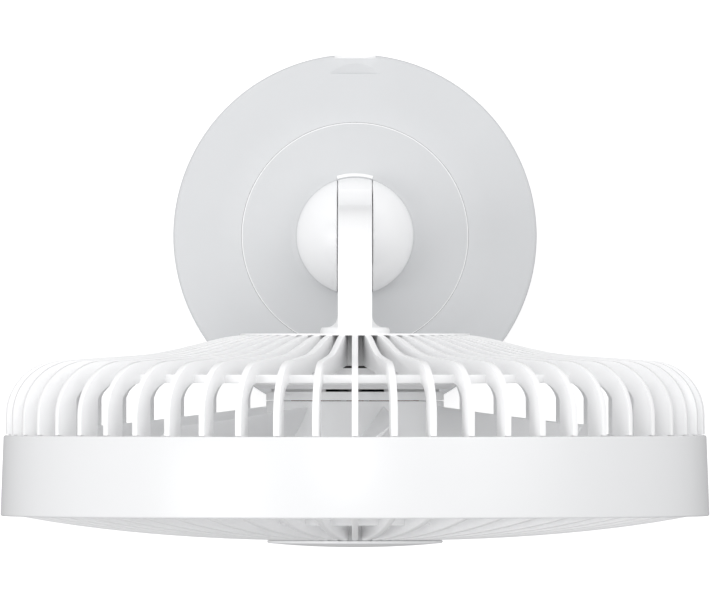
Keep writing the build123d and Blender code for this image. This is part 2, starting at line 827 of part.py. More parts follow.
neck_screw_heights = (92.0, 142.0)
neck_screw_seat = -half_depth + 4.4
with BuildPart() as neck_cover:
    with BuildSketch(Plane.YZ):
        add(cover_outline(seat_gap))
        make_face()
    extrude(amount=neck_width / 2 - neck_wall - seat_gap, both=True)
    with BuildSketch(Plane.XZ.offset(half_depth - neck_wall / 2)):
        with Locations(*[(0, height) for height in neck_screw_heights]):
            Circle(neck_boss_radius)
    extrude(amount=-(half_depth - neck_wall / 2 - spine_depth / 2 - seat_gap))
    with BuildSketch(Plane.XZ.offset(half_depth)):
        with Locations(*[(0, height) for height in neck_screw_heights]):
            Circle(neck_screw_head + 2 * seat_gap)
    extrude(amount=-(half_depth + neck_screw_seat), mode=Mode.SUBTRACT)
    with BuildSketch(Plane.XZ.offset(half_depth)):
        with Locations(*[(0, height) for height in neck_screw_heights]):
            Circle(neck_screw_radius + seat_gap)
    extrude(amount=-half_depth, mode=Mode.SUBTRACT)

with BuildPart() as neck_spine:
    with BuildSketch(Plane.YZ):
        add(neck_outline(half_depth - spine_depth / 2))
        make_face()
    extrude(amount=spine_width / 2, both=True)
    with BuildSketch(head_plane):
        Rectangle(spine_width, 2 * (half_depth - neck_wall - seat_gap))
    extrude(amount=-9.0)
    with BuildSketch(Plane.YZ):
        with Locations((0, pivot_height)):
            Circle(spine_hub_radius)
    extrude(amount=neck_width / 2, both=True)
    with BuildSketch(Plane.YZ):
        with Locations((0, pivot_height)):
            Circle(axle_radius + running_gap)
    extrude(amount=neck_width, both=True, mode=Mode.SUBTRACT)
    with BuildSketch(Plane.XZ.offset(spine_depth / 2)):
        with Locations(*[(0, height) for height in neck_screw_heights]):
            Circle(neck_screw_radius + screw_gap)
    extrude(amount=-spine_depth, mode=Mode.SUBTRACT)
    with BuildSketch(head_plane):
        with Locations((0, head_screw_spread), (0, -head_screw_spread)):
            Circle(head_screw_radius + screw_gap)
    extrude(amount=-8.0, mode=Mode.SUBTRACT)

neck_screw = make_screw(neck_screw_head, 1.8, neck_screw_radius, 10.0)
with BuildPart() as neck_screws:
    with Locations(*[(0, neck_screw_seat, height) for height in neck_screw_heights]):
        with Locations(Rotation(-90, 0, 0)):
            add(neck_screw)

# ================================================================ rear grille
hub_plate_radius = 53.5
hub_plate_thickness = 0.8
drum_depth = 15.0
drum_front_radius = 45.5
drum_rear_radius = 40.0
drum_wall = 2.4
drum_floor = 3.0
rear_corner = 25.5
rear_corner_depth = 38.0
rib_inner = 153.0
rear_rib_face = 22.8
rib_bend_radius = 105.0
rear_ring_inner = 137.6
rear_ring_outer = 141.6
rear_ring_depth = 4.0
hoop_outer = 161.2
hoop_wall = 2.6
rear_hoop_start = band_start + 0.5
hoop_joint = 62.0
rib_tail = 5.0                # how far the ribs run into the band
motor_screw_circle = 33.0
motor_screw_count = 4
motor_screw_radius = 1.8
motor_screw_head = 3.2
motor_screw_sunk = 1.7
motor_boss_radius = 4.2
wire_hole_radius = 4.5

rib_bite = 1.0                # how far a rib reaches into the drum
rib_root = hub_plate_thickness - 0.3
rib_end = band_start - 0.4
corner_centre = grille_radius - rear_corner
with BuildPart() as rear_rib:
    with BuildSketch(Plane.XZ):
        with BuildLine():
            Polyline(
                (drum_rear_radius - 4 * rib_bite, rib_root),
                (hub_plate_radius, rib_root),
                (hub_plate_radius, hub_plate_thickness),
            )
            ThreePointArc((hub_plate_radius, hub_plate_thickness), (64.5, 2.5), (76.5, 5.6))
            ThreePointArc((76.5, 5.6), (90.2, 8.7), (104.0, 10.2))
            Line((104.0, 10.2), (corner_centre, rear_corner_depth - rear_corner))
            RadiusArc(
                (corner_centre, rear_corner_depth - rear_corner),
                (grille_radius, rear_corner_depth),
                -rear_corner,
            )
            Polyline(
                (grille_radius, rear_corner_depth),
                (grille_radius, rib_end),
                (hoop_outer, rib_end),
                (hoop_outer, band_start + rib_tail),
                (hoop_outer - hoop_wall, band_start + rib_tail),
                (rib_inner, rib_end),
                (rib_inner, 30.2),
            )
            ThreePointArc((rib_inner, 30.2), (149.3, 25.2), (141.9, rear_rib_face))
            Polyline(
                (141.9, rear_rib_face),
                (rib_bend_radius, rear_rib_face),
                (95.0, 18.0),
                (49.0, drum_depth),
                (drum_front_radius - rib_bite, drum_depth),
                (drum_rear_radius - 4 * rib_bite, rib_root),
            )
        make_face()
    extrude(amount=rib_thickness / 2, both=True)

with BuildPart(head_plane) as rear_grille:
    with BuildSketch(head_section):
        with BuildLine():
            Polyline(
                (0, 0),
                (hub_plate_radius, 0),
                (hub_plate_radius, hub_plate_thickness),
                (drum_rear_radius, hub_plate_thickness),
                (drum_front_radius, drum_depth),
                (drum_front_radius - drum_wall, drum_depth),
                (drum_rear_radius - drum_wall, drum_floor),
                (0, drum_floor),
                close=True,
            )
        make_face()
        ring_profile(
            rear_ring_inner, rear_ring_outer, rear_rib_face - rear_ring_depth, rear_rib_face
        )
        ring_profile(hoop_outer - hoop_wall, hoop_outer, rear_hoop_start, hoop_joint)
    revolve(axis=head_axis)
    with PolarLocations(0, rib_count, start_angle=90):
        add(rear_rib.part)
    with BuildSketch(head_plane):
        Circle(wire_hole_radius)
        with Locations((0, head_screw_spread), (0, -head_screw_spread)):
            Circle(head_screw_radius + seat_gap)
        with PolarLocations(motor_screw_circle, motor_screw_count, start_angle=45):
            Circle(motor_screw_radius + seat_gap)
    extrude(amount=drum_depth + 5, mode=Mode.SUBTRACT)
    with BuildSketch(head_plane):
        with PolarLocations(motor_screw_circle, motor_screw_count, start_angle=45):
            Circle(motor_screw_head + 2 * seat_gap)
    extrude(amount=motor_screw_sunk, mode=Mode.SUBTRACT)

head_screw = make_screw(head_screw_pan, 2.0, head_screw_radius, 10.0)
with BuildPart(head_plane) as head_screws:
    with Locations((0, head_screw_spread, drum_floor), (0, -head_screw_spread, drum_floor)):
        with Locations(Rotation(180, 0, 0)):
            add(head_screw)

# ================================================================ front grille and band
front_ring_inner = 105.0
front_ring_outer = 109.0
front_hub_radius = 39.0
front_hub_depth = 96.0
front_hub_rear = front_hub_depth - 8.0
front_ring_depth = 88.5
front_rib_edge = 84.2
front_hub_wall = 2.5
cap_radius = 40.8
cap_thickness = 3.4
cap_seat = 0.1
cap_pin_circle = 24.0
cap_pin_count = 3
cap_pin_radius = 2.0
cap_pin_length = 3.5
cap_rise = cap_thickness - 1.4
cap_crown = ((cap_radius - 0.7) ** 2 + cap_rise**2) / (2 * cap_rise)

with BuildPart() as outer_band:
    with BuildSketch(head_section):
        with BuildLine():
            Polyline(
                (hoop_outer + slide_gap, band_start),
                (band_rear_radius, band_start),
                (band_front_radius, band_end),
                (hoop_outer + slide_gap, band_end),
                close=True,
            )
        make_face()
    revolve(axis=head_axis)
    outer_edges = outer_band.edges().filter_by(GeomType.CIRCLE)
    fillet(outer_edges.filter_by(lambda e: e.radius > band_rear_radius - 0.1), radius=0.9)

with BuildPart() as front_rib:
    with BuildSketch(Plane.XZ):
        with BuildLine():
            Line((front_hub_radius - 1, front_hub_depth), (front_hub_radius + 1, front_hub_depth))
            ThreePointArc(
                (front_hub_radius + 1, front_hub_depth),
                (103.4, 92.9),
                (hoop_outer - 0.8, front_rib_edge),
            )
            Line((hoop_outer - 0.8, front_rib_edge), (hoop_outer - 0.8, 74.0))
            Line((hoop_outer - 0.8, 74.0), (hoop_outer - hoop_wall - 3, 78.0))
            ThreePointArc(
                (hoop_outer - hoop_wall - 3, 78.0),
                (103.4, 85.6),
                (front_hub_radius - 1, front_hub_rear + 0.4),
            )
            Line(
                (front_hub_radius - 1, front_hub_rear + 0.4),
                (front_hub_radius - 1, front_hub_depth),
            )
        make_face()
    extrude(amount=rib_thickness / 2, both=True)

with BuildPart(head_plane) as front_grille:
    with BuildSketch(head_section):
        ring_profile(hoop_outer - hoop_wall, hoop_outer, hoop_joint + 0.2, band_end - 0.6)
        ring_profile(
            front_ring_inner, front_ring_outer, front_ring_depth - 3.6, front_ring_depth
        )
        ring_profile(
            front_hub_radius - front_hub_wall, front_hub_radius, front_hub_rear, front_hub_depth
        )
        ring_profile(0, front_hub_radius, front_hub_depth - 2.0, front_hub_depth)
    revolve(axis=head_axis)
    with PolarLocations(0, rib_count, start_angle=90):
        add(front_rib.part)
    with BuildSketch(head_plane.offset(front_hub_depth - 5)):
        with PolarLocations(cap_pin_circle, cap_pin_count, start_angle=90):
            Circle(cap_pin_radius + seat_gap)
    extrude(amount=10, mode=Mode.SUBTRACT)

with BuildPart(head_plane) as front_cap:
    with BuildSketch(head_section):
        with BuildLine():
            Line((0, front_hub_depth + cap_seat), (cap_radius, front_hub_depth + cap_seat))
            Line((cap_radius, front_hub_depth + cap_seat), (cap_radius, front_hub_depth + 0.7))
            RadiusArc(
                (cap_radius, front_hub_depth + 0.7),
                (cap_radius - 0.7, front_hub_depth + 1.4),
                -0.7,
            )
            RadiusArc(
                (cap_radius - 0.7, front_hub_depth + 1.4),
                (0, front_hub_depth + cap_thickness),
                -cap_crown,
            )
            Line((0, front_hub_depth + cap_thickness), (0, front_hub_depth + cap_seat))
        make_face()
    revolve(axis=head_axis)
    with BuildSketch(head_plane.offset(front_hub_depth + cap_seat - cap_pin_length + 0.4)):
        with PolarLocations(cap_pin_circle, cap_pin_count, start_angle=90):
            Circle(cap_pin_radius)
    extrude(amount=cap_pin_length)

# ================================================================ motor
housing_radius = 47.5
housing_start = 16.0
housing_wall = 2.5
housing_cone_start = 23.9
seam_depth = 25.8
seam_width = 1.2
housing_mouth = 39.2
collar_radius = 38.9
tube_outer = 9.0
tube_bore = 6.5
tube_end = 44.0
motor_cover_end = 31.0
cover_screw_circle = 30.0
cover_screw_count = 3
cover_screw_radius = 1.3
cover_boss_radius = 3.2
vent_width = 27.0
vent_depth = 14.0
motor_board_radius = 36.0
wire_hole_offset = 18.0
hub_start = 31.8
shaft_radius = 2.5
stator_start = 33.0
stator_end = 42.0
stator_radius = 33.6
stator_teeth = 12
magnet_inner = 34.2
magnet_outer = 37.0
bell_radius = 38.6
bell_front = 47.0
bell_wall = 1.5
nose_depth = 64.0

with BuildPart(head_plane) as motor_housing:
    with BuildSketch(head_section):
        with BuildLine():
            Polyline(
                (tube_bore, housing_start),
                (housing_radius, housing_start),
                (housing_radius, housing_cone_start),
                (housing_radius - (seam_depth - housing_cone_start) * 1.6, seam_depth),
                (housing_mouth, seam_depth),
                (housing_mouth, seam_depth - 3.0),
                (housing_radius - housing_wall, seam_depth - 6.0),
                (housing_radius - housing_wall, housing_start + housing_wall),
                (tube_outer, housing_start + housing_wall),
                (tube_outer, tube_end),
                (tube_bore, tube_end),
                close=True,
            )
        make_face()
    revolve(axis=head_axis)
    with BuildSketch(head_plane.offset(drum_floor)):
        with PolarLocations(motor_screw_circle, motor_screw_count, start_angle=45):
            Circle(motor_boss_radius)
    extrude(amount=housing_start - drum_floor + 1)
    with BuildSketch(head_plane.offset(housing_start)):
        with PolarLocations(cover_screw_circle, cover_screw_count, start_angle=90):
            Circle(cover_boss_radius)
    extrude(amount=seam_depth + seam_width - housing_start)
    with BuildSketch(head_plane.offset(drum_floor)):
        with PolarLocations(motor_screw_circle, motor_screw_count, start_angle=45):
            Circle(motor_screw_radius + screw_gap)
    extrude(amount=10, mode=Mode.SUBTRACT)
    with BuildSketch(head_plane.offset(seam_depth + seam_width)):
        with PolarLocations(cover_screw_circle, cover_screw_count, start_angle=90):
            Circle(cover_screw_radius + screw_gap)
    extrude(amount=-6, mode=Mode.SUBTRACT)
    with BuildSketch(head_plane.offset(housing_start - 1)):
        with Locations((wire_hole_offset, 0)):
            Circle(wire_hole_radius)
    extrude(amount=housing_wall + 2, mode=Mode.SUBTRACT)

with BuildPart() as damper_ring:
    with BuildSketch(head_section):
        ring_profile(drum_front_radius - 4.0, drum_front_radius - 0.9, drum_depth, housing_start)
    revolve(axis=head_axis)

motor_screw = make_screw(motor_screw_head, 1.6, motor_screw_radius, 10.0)
with BuildPart(head_plane) as motor_screws:
    with Locations((0, 0, motor_screw_sunk)):
        with PolarLocations(motor_screw_circle, motor_screw_count, start_angle=45):
            add(motor_screw)

cover_front = seam_depth + seam_width
with BuildPart(head_plane) as motor_cover:
    with BuildSketch(head_section):
        ring_profile(tube_outer + seat_gap, hub_radius, cover_front, cover_front + 2.0)
        ring_profile(hub_radius - 2.4, hub_radius, cover_front, motor_cover_end)
        ring_profile(collar_radius - 2.4, collar_radius, 21.5, cover_front)
    revolve(axis=head_axis)
    with BuildSketch(head_plane.offset(seam_depth - 1.2)):
        with Locations((0, collar_radius)):
            Rectangle(vent_width, vent_depth)
    extrude(amount=seam_width + 1.2, mode=Mode.SUBTRACT)
    with BuildSketch(head_plane.offset(cover_front - 1)):
        with PolarLocations(cover_screw_circle, cover_screw_count, start_angle=90):
            Circle(cover_screw_radius + seat_gap)
    extrude(amount=5, mode=Mode.SUBTRACT)

cover_screw = make_screw(2.4, 1.4, cover_screw_radius, 6.0)
with BuildPart(head_plane) as motor_cover_screws:
    with Locations((0, 0, cover_front + 2.0)):
        with PolarLocations(cover_screw_circle, cover_screw_count, start_angle=90):
            with Locations(Rotation(180, 0, 0)):
                add(cover_screw)

with BuildPart(head_plane) as motor_board:
    with BuildSketch(head_plane.offset(housing_start + housing_wall)):
        Circle(motor_board_radius)
        Circle(tube_outer + seat_gap, mode=Mode.SUBTRACT)
        with PolarLocations(cover_screw_circle, cover_screw_count, start_angle=90):
            Circle(cover_boss_radius + 2 * seat_gap, mode=Mode.SUBTRACT)
        with Locations((wire_hole_offset, 0)):
            Circle(wire_hole_radius, mode=Mode.SUBTRACT)
    extrude(amount=board_thickness)

with BuildPart(head_plane) as stator_core:
    with BuildSketch(head_plane.offset(stator_start)):
        Circle(stator_radius)
        Circle(stator_radius - 3.0, mode=Mode.SUBTRACT)
        with PolarLocations(stator_radius - 1.5, stator_teeth, start_angle=360 / stator_teeth / 2):
            Rectangle(6, 2.4, mode=Mode.SUBTRACT)
        Circle(16.0)
        with PolarLocations(23.5, stator_teeth):
            Rectangle(16.5, 4.4)
        Circle(tube_outer + seat_gap, mode=Mode.SUBTRACT)
    extrude(amount=stator_end - stator_start)

with BuildPart(head_plane) as stator_windings:
    with BuildSketch(head_plane.offset(stator_start - 2.2)):
        with PolarLocations(24.5, stator_teeth):
            Rectangle(10.5, 8.0)
    extrude(amount=stator_end - stator_start + 4.4)
    fillet(stator_windings.edges().filter_by(Axis.Y), radius=1.2)
    with BuildSketch(head_plane.offset(stator_start - seat_gap)):
        with PolarLocations(24.5, stator_teeth):
            Rectangle(12, 4.6)
    extrude(amount=stator_end - stator_start + 2 * seat_gap, mode=Mode.SUBTRACT)

bearing_width = 5.0
with BuildPart() as rear_bearing:
    with BuildSketch(head_section):
        ring_profile(
            shaft_radius + running_gap,
            tube_bore,
            housing_start + 3,
            housing_start + 3 + bearing_width,
        )
    revolve(axis=head_axis)
with BuildPart() as front_bearing:
    with BuildSketch(head_section):
        ring_profile(
            shaft_radius + running_gap,
            tube_bore,
            tube_end - bearing_width - 0.5,
            tube_end - 0.5,
        )
    revolve(axis=head_axis)

# ================================================================ rotor and impeller
nut_radius = 9.0
nut_depth = 6.0
boss_radius = 8.0
hub_wall = 2.6
nose_round = 8.0
blade_thickness = 2.2

with BuildPart() as rotor_bell:
    with BuildSketch(head_section):
        ring_profile(magnet_outer, bell_radius, hub_start, bell_front)
        ring_profile(shaft_radius, bell_radius, bell_front - bell_wall, bell_front)
    revolve(axis=head_axis)

with BuildPart() as magnet_ring:
    with BuildSketch(head_section):
        ring_profile(magnet_inner, magnet_outer, stator_start - 0.8, stator_end + 1.2)
    revolve(axis=head_axis)

with BuildPart(head_plane) as motor_shaft:
    with BuildSketch(head_plane.offset(housing_start + 3.5)):
        Circle(shaft_radius)
    extrude(amount=nose_depth + nut_depth - 1 - housing_start - 3.5)

with BuildPart() as shaft_clip:
    with BuildSketch(head_section):
        ring_profile(shaft_radius, shaft_radius + 2, tube_end - 0.3, tube_end + 0.5)
    revolve(axis=head_axis)


def blade_section(radius, chord, pitch, depth, sweep):
    """Curved blade profile, square to a radius of the impeller, at its pitch."""
    camber = 0.09 * chord
    half = chord / 2
    along = (0, cos(radians(pitch)), sin(radians(pitch)))
    place = Plane(origin=(radius, sweep, depth), x_dir=along, z_dir=(1, 0, 0))
    with BuildSketch(place) as section:
        with BuildLine():
            ThreePointArc((-half, 0), (0, camber + blade_thickness / 2), (half, 0))
            Line((half, 0), (half, -blade_thickness / 2))
            ThreePointArc(
                (half, -blade_thickness / 2),
                (0, camber - blade_thickness / 2),
                (-half, -blade_thickness / 2),
            )
            Line((-half, -blade_thickness / 2), (-half, 0))
        make_face()
    return section.sketch


with BuildPart() as blade:
    add(blade_section(hub_radius - 1.5, 38, 45, 47, 0))
    add(blade_section(82, 50, 32, 52, 4))
    add(blade_section(impeller_radius, 58, 23, 54, 12))
    loft()

with BuildPart(head_plane) as impeller:
    with BuildSketch(head_section):
        ring_profile(0, hub_radius, hub_start, nose_depth)
    revolve(axis=head_axis)
    nose_edge = impeller.edges().filter_by(GeomType.CIRCLE).sort_by(Axis.Y)[0]
    fillet(nose_edge, radius=nose_round)
    with BuildSketch(head_section):
        ring_profile(boss_radius, hub_radius - hub_wall, hub_start - 1, nose_depth - 5)
        ring_profile(0, boss_radius, hub_start - 1, bell_front)
    revolve(axis=head_axis, mode=Mode.SUBTRACT)
    with PolarLocations(0, blade_count, start_angle=90):
        add(blade.part)
    with BuildSketch(head_section):
        ring_profile(boss_radius, hub_radius - hub_wall, hub_start - 1, nose_depth - 5)
    revolve(axis=head_axis, mode=Mode.SUBTRACT)
    with BuildSketch(head_plane.offset(bell_front - 1)):
        Circle(shaft_radius + seat_gap)
    extrude(amount=30, mode=Mode.SUBTRACT)

with BuildPart(head_plane) as impeller_nut:
    with BuildSketch(head_plane.offset(nose_depth)):
        Circle(nut_radius)
    extrude(amount=nut_depth)
    fillet(impeller_nut.edges().sort_by(Axis.Y)[0], radius=2.0)
    with BuildSketch(head_plane.offset(nose_depth)):
        Circle(shaft_radius + screw_gap)
    extrude(amount=nut_depth - 1 + 0.1, mode=Mode.SUBTRACT)

# ================================================================ export
pieces = {
    "base_plate": base_plate,
    "base_cover": base_cover,
    "counterweight": counterweight,
    "rubber_feet": rubber_feet,
    "base_screws": base_screws,
    "bearing_ring": bearing_ring,
    "swing_motor": swing_motor,
    "swing_motor_screws": swing_motor_screws,
    "control_board": control_board,
    "key_switches": key_switches,
    "board_screws": board_screws,
    "dc_inlet": dc_inlet,
    "dc_pin": dc_pin,
    "drive_pinion": drive_pinion,
    "pinion_shaft": pinion_shaft,
    "turntable_cover": turntable_cover,
    "turntable_frame": turntable_frame,
    "turntable_screws": turntable_screws,
    "ring_gear": ring_gear,
    "retaining_ring": retaining_ring,
    "tilt_axle": tilt_axle,
    "tilt_nut": tilt_nut,
    "spring_washer": spring_washer,
    "friction_washers": friction_washers,
    "neck_shell": neck_shell,
    "neck_cover": neck_cover,
    "neck_spine": neck_spine,
    "neck_screws": neck_screws,
    "rear_grille": rear_grille,
    "head_screws": head_screws,
    "outer_band": outer_band,
    "front_grille": front_grille,
    "front_cap": front_cap,
    "motor_housing": motor_housing,
    "motor_screws": motor_screws,
    "damper_ring": damper_ring,
    "motor_cover": motor_cover,
    "motor_cover_screws": motor_cover_screws,
    "motor_board": motor_board,
    "stator_core": stator_core,
    "stator_windings": stator_windings,
    "rear_bearing": rear_bearing,
    "front_bearing": front_bearing,
    "rotor_bell": rotor_bell,
    "magnet_ring": magnet_ring,
    "motor_shaft": motor_shaft,
    "shaft_clip": shaft_clip,
    "impeller": impeller,
    "impeller_nut": impeller_nut,
}
pieces.update(buttons)

os.makedirs("parts", exist_ok=True)
for name, piece in pieces.items():
    piece.part.label = name
    export_step(piece.part, f"parts/{name}.step")
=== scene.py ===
# %% [markdown]
# A white desk fan, dressed around its working model.
# The frame below holds every engineered part in metres, at rest.  Those parts keep
# their place and shape.  This lesson gives them finishes, and makes the pieces that the
# eye follows again in cleaner meshes: the two ribbed grilles, the band, the impeller,
# the neck, the dome and the cap.

# %% Load the frame
import json
import math

import bmesh
import bpy
from mathutils import Matrix, Vector
from mathutils.geometry import interpolate_bezier


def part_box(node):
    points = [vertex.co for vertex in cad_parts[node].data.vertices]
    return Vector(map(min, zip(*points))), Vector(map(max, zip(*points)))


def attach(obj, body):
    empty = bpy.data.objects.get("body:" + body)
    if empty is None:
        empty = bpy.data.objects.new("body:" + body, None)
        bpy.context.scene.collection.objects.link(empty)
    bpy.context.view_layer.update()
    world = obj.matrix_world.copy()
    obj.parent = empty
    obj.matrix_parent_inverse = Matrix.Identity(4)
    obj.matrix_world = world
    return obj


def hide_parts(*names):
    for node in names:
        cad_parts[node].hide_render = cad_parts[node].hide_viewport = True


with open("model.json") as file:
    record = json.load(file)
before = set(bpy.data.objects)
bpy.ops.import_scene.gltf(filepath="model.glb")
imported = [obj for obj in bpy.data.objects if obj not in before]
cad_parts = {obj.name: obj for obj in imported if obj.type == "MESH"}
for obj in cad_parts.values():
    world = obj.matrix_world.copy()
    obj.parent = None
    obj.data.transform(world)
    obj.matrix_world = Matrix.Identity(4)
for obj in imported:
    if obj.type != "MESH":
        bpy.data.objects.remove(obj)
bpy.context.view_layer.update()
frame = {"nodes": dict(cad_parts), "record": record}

nodes = frame["nodes"]
mm = 0.001

# %% [markdown]
# Everything on the head turns around one line, so the new pieces are drawn as a
# radius from that line and a depth forwards from the head's rear plate.  The line and
# the plate are read from the frame: the middle of the outer band gives the height,
# and the rearmost face of the rear grille gives the plate.

# %% Where the head and the base are
band_low, band_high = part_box("outer_band")
grille_low, grille_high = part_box("rear_grille")
head_height = (band_low.z + band_high.z) / 2
plate_y = grille_high.y
head_centre = Vector((0, plate_y, head_height))
head_line = Vector((0, -1, 0))
upright_line = Vector((0, 0, 1))
axle_low, axle_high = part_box("tilt_axle")
pivot = Vector((0, 0, (axle_low.z + axle_high.z) / 2))
print("head axis at", round(head_height, 4), "m, rear plate at", round(plate_y, 4), "m")


def head_point(radius, depth):
    """A point beside the head's axis, from millimetres."""
    return head_centre + Vector((radius * mm, -depth * mm, 0))


def base_point(radius, height):
    """A point beside the base's axis, from millimetres."""
    return Vector((radius * mm, 0, height * mm))


# %% [markdown]
# Camera.  The fan is looked at from straight above, from far away, so that the base
# and the head keep nearly the same scale.  A long lens does that: the distance follows
# from the lens and from how much of the desk the picture takes in.

# %% Camera
frame_width = 0.3304
long_lens = 1400.0
look_at_y = -0.0302
camera_data = bpy.data.cameras.new("camera")
camera_data.lens = long_lens
camera_data.sensor_width = 36.0
camera = bpy.data.objects.new("camera", camera_data)
bpy.context.scene.collection.objects.link(camera)
distance = frame_width * long_lens / camera_data.sensor_width
camera.location = (0, look_at_y, head_height + distance)
camera_data.clip_end = 2 * distance
bpy.context.scene.camera = camera
bpy.context.scene.view_settings.view_transform = "Standard"
print("camera", round(distance, 2), "m above the head's axis")

# %% [markdown]
# Studio.  A pale floor, an even white sky, and five soft lamps.  The key lamp stands on
# the left and a weaker fill lamp on the right.  One lamp hangs straight above, and two
# low ones stand behind, to reach in between the ribs.  In reflections the sky is bright
# above and dimmer towards the ground, which draws the grey edges that glossy white
# plastic shows.  The floor glows a little, as paper lit from behind does, so the fan's
# own shadow stays faint.  The fan neither mirrors the floor nor takes light from it,
# because that would burn out every edge.

# %% Floor
floor_half_size = 6.0
paper_tone = 0.86
paper_roughness = 0.9
paper_glow = 0.45
floor_mesh = bpy.data.meshes.new("floor")
floor_bm = bmesh.new()
bmesh.ops.create_grid(floor_bm, x_segments=1, y_segments=1, size=floor_half_size)
floor_bm.to_mesh(floor_mesh)
floor_bm.free()
floor = bpy.data.objects.new("floor", floor_mesh)
bpy.context.scene.collection.objects.link(floor)
floor.visible_glossy = False
floor.visible_diffuse = False
paper = bpy.data.materials.new("paper")
paper.use_nodes = True
paper_shader = paper.node_tree.nodes["Principled BSDF"]
paper_shader.inputs["Base Color"].default_value = (paper_tone, paper_tone, paper_tone, 1)
paper_shader.inputs["Roughness"].default_value = paper_roughness
paper_shader.inputs["Emission Color"].default_value = (1, 1, 1, 1)
paper_shader.inputs["Emission Strength"].default_value = paper_glow
floor_mesh.materials.append(paper)

# %% Sky
ground_grey, level_grey, zenith_grey = 0.30, 0.62, 1.0
even_light = 0.97
blue_lift = 1.01
sky_strength = 0.77
sky = bpy.data.worlds.new("sky")
bpy.context.scene.world = sky
sky.use_nodes = True
sky_nodes = sky.node_tree.nodes
sky_links = sky.node_tree.links
direction = sky_nodes.new("ShaderNodeTexCoord")
split_axes = sky_nodes.new("ShaderNodeSeparateXYZ")
to_unit = sky_nodes.new("ShaderNodeMapRange")
to_unit.inputs["From Min"].default_value = -1.0
sky_ramp = sky_nodes.new("ShaderNodeValToRGB")
sky_links.new(direction.outputs["Generated"], split_axes.inputs[0])
sky_links.new(split_axes.outputs["Z"], to_unit.inputs["Value"])
sky_links.new(to_unit.outputs["Result"], sky_ramp.inputs["Fac"])
sky_ramp.color_ramp.elements[0].color = (ground_grey, ground_grey, ground_grey, 1)
sky_ramp.color_ramp.elements[1].color = (zenith_grey, zenith_grey, zenith_grey, 1)
level = sky_ramp.color_ramp.elements.new(0.5)
level.color = (level_grey, level_grey, level_grey * blue_lift, 1)
ray_kind = sky_nodes.new("ShaderNodeLightPath")
sky_mix = sky_nodes.new("ShaderNodeMix")
sky_mix.data_type = "RGBA"
sky_mix.inputs["A"].default_value = (even_light, even_light, even_light * blue_lift, 1)
sky_links.new(ray_kind.outputs["Is Glossy Ray"], sky_mix.inputs["Factor"])
sky_links.new(sky_ramp.outputs["Color"], sky_mix.inputs["B"])
sky_links.new(sky_mix.outputs["Result"], sky_nodes["Background"].inputs["Color"])
sky_nodes["Background"].inputs["Strength"].default_value = sky_strength

# %% Lamps


def soft_lamp(name, place, size, power):
    """A square soft box that faces the fan's head; metres and watts."""
    lamp_data = bpy.data.lights.new(name, "AREA")
    lamp_data.shape = "SQUARE"
    lamp_data.size = size
    lamp_data.energy = power
    lamp = bpy.data.objects.new(name, lamp_data)
    lamp.location = place
    aim = head_centre - Vector(place)
    lamp.rotation_euler = aim.to_track_quat("-Z", "Y").to_euler()
    bpy.context.scene.collection.objects.link(lamp)


soft_lamp("key_lamp", place=(-2.2, -0.4, 2.4), size=1.8, power=24.0)
soft_lamp("fill_lamp", place=(2.4, 0.5, 2.2), size=2.0, power=12.0)
soft_lamp("top_lamp", place=(-0.2, 0.5, 5.0), size=0.9, power=23.0)
soft_lamp("rear_lamp_left", place=(-1.6, 2.2, 1.6), size=1.4, power=12.0)
soft_lamp("rear_lamp_right", place=(1.6, 2.2, 1.6), size=1.4, power=11.0)
print("studio ready")

# %% [markdown]
# Finishes.  Nearly everything is injection-moulded plastic.  Real mouldings are never
# one flat tone: the melt leaves faint clouds and the tool leaves a fine grain.  Edges
# are also painted a touch lighter, a painted highlight.  These three effects are node groups,
# because many finishes share them.  The clouds and the grain read Object coordinates,
# so they sit still on the piece.

# %% Helpers for node groups


def new_group(name, inputs, outputs):
    """A shader node group with float, vector or colour sockets."""
    group = bpy.data.node_groups.new(name, "ShaderNodeTree")
    for socket, kind, value in inputs:
        made = group.interface.new_socket(socket, in_out="INPUT", socket_type=kind)
        if value is not None:
            made.default_value = value
    for socket, kind in outputs:
        group.interface.new_socket(socket, in_out="OUTPUT", socket_type=kind)
    group.nodes.new("NodeGroupInput").name = "in"
    group.nodes.new("NodeGroupOutput").name = "out"
    return group


def add_noise(group, scale_socket, detail):
    """Noise inside a group, scaled by one of the group's inputs."""
    noise = group.nodes.new("ShaderNodeTexNoise")
    noise.inputs["Detail"].default_value = detail
    source = group.nodes["in"]
    group.links.new(source.outputs["Vector"], noise.inputs["Vector"])
    group.links.new(source.outputs[scale_socket], noise.inputs["Scale"])
    return noise


FLOAT, COLOUR, VECTOR = "NodeSocketFloat", "NodeSocketColor", "NodeSocketVector"

# %% Clouded tone: slow drift between two close colours
clouds = new_group(
    "clouded_tone",
    (("Vector", VECTOR, None), ("Tone", COLOUR, (0.8, 0.8, 0.8, 1)),
     ("Drift", COLOUR, (0.7, 0.7, 0.7, 1)), ("Cloud Scale", FLOAT, 14.0)),
    (("Color", COLOUR), ("Mask", FLOAT)),
)
cloud_noise = add_noise(clouds, "Cloud Scale", 3.0)
cloud_range = clouds.nodes.new("ShaderNodeMapRange")
cloud_range.inputs["From Min"].default_value = 0.35
cloud_range.inputs["From Max"].default_value = 0.7
cloud_mix = clouds.nodes.new("ShaderNodeMix")
cloud_mix.data_type = "RGBA"
clouds.links.new(cloud_noise.outputs["Fac"], cloud_range.inputs["Value"])
clouds.links.new(cloud_range.outputs["Result"], cloud_mix.inputs["Factor"])
clouds.links.new(clouds.nodes["in"].outputs["Tone"], cloud_mix.inputs["A"])
clouds.links.new(clouds.nodes["in"].outputs["Drift"], cloud_mix.inputs["B"])
clouds.links.new(cloud_mix.outputs["Result"], clouds.nodes["out"].inputs["Color"])
clouds.links.new(cloud_range.outputs["Result"], clouds.nodes["out"].inputs["Mask"])

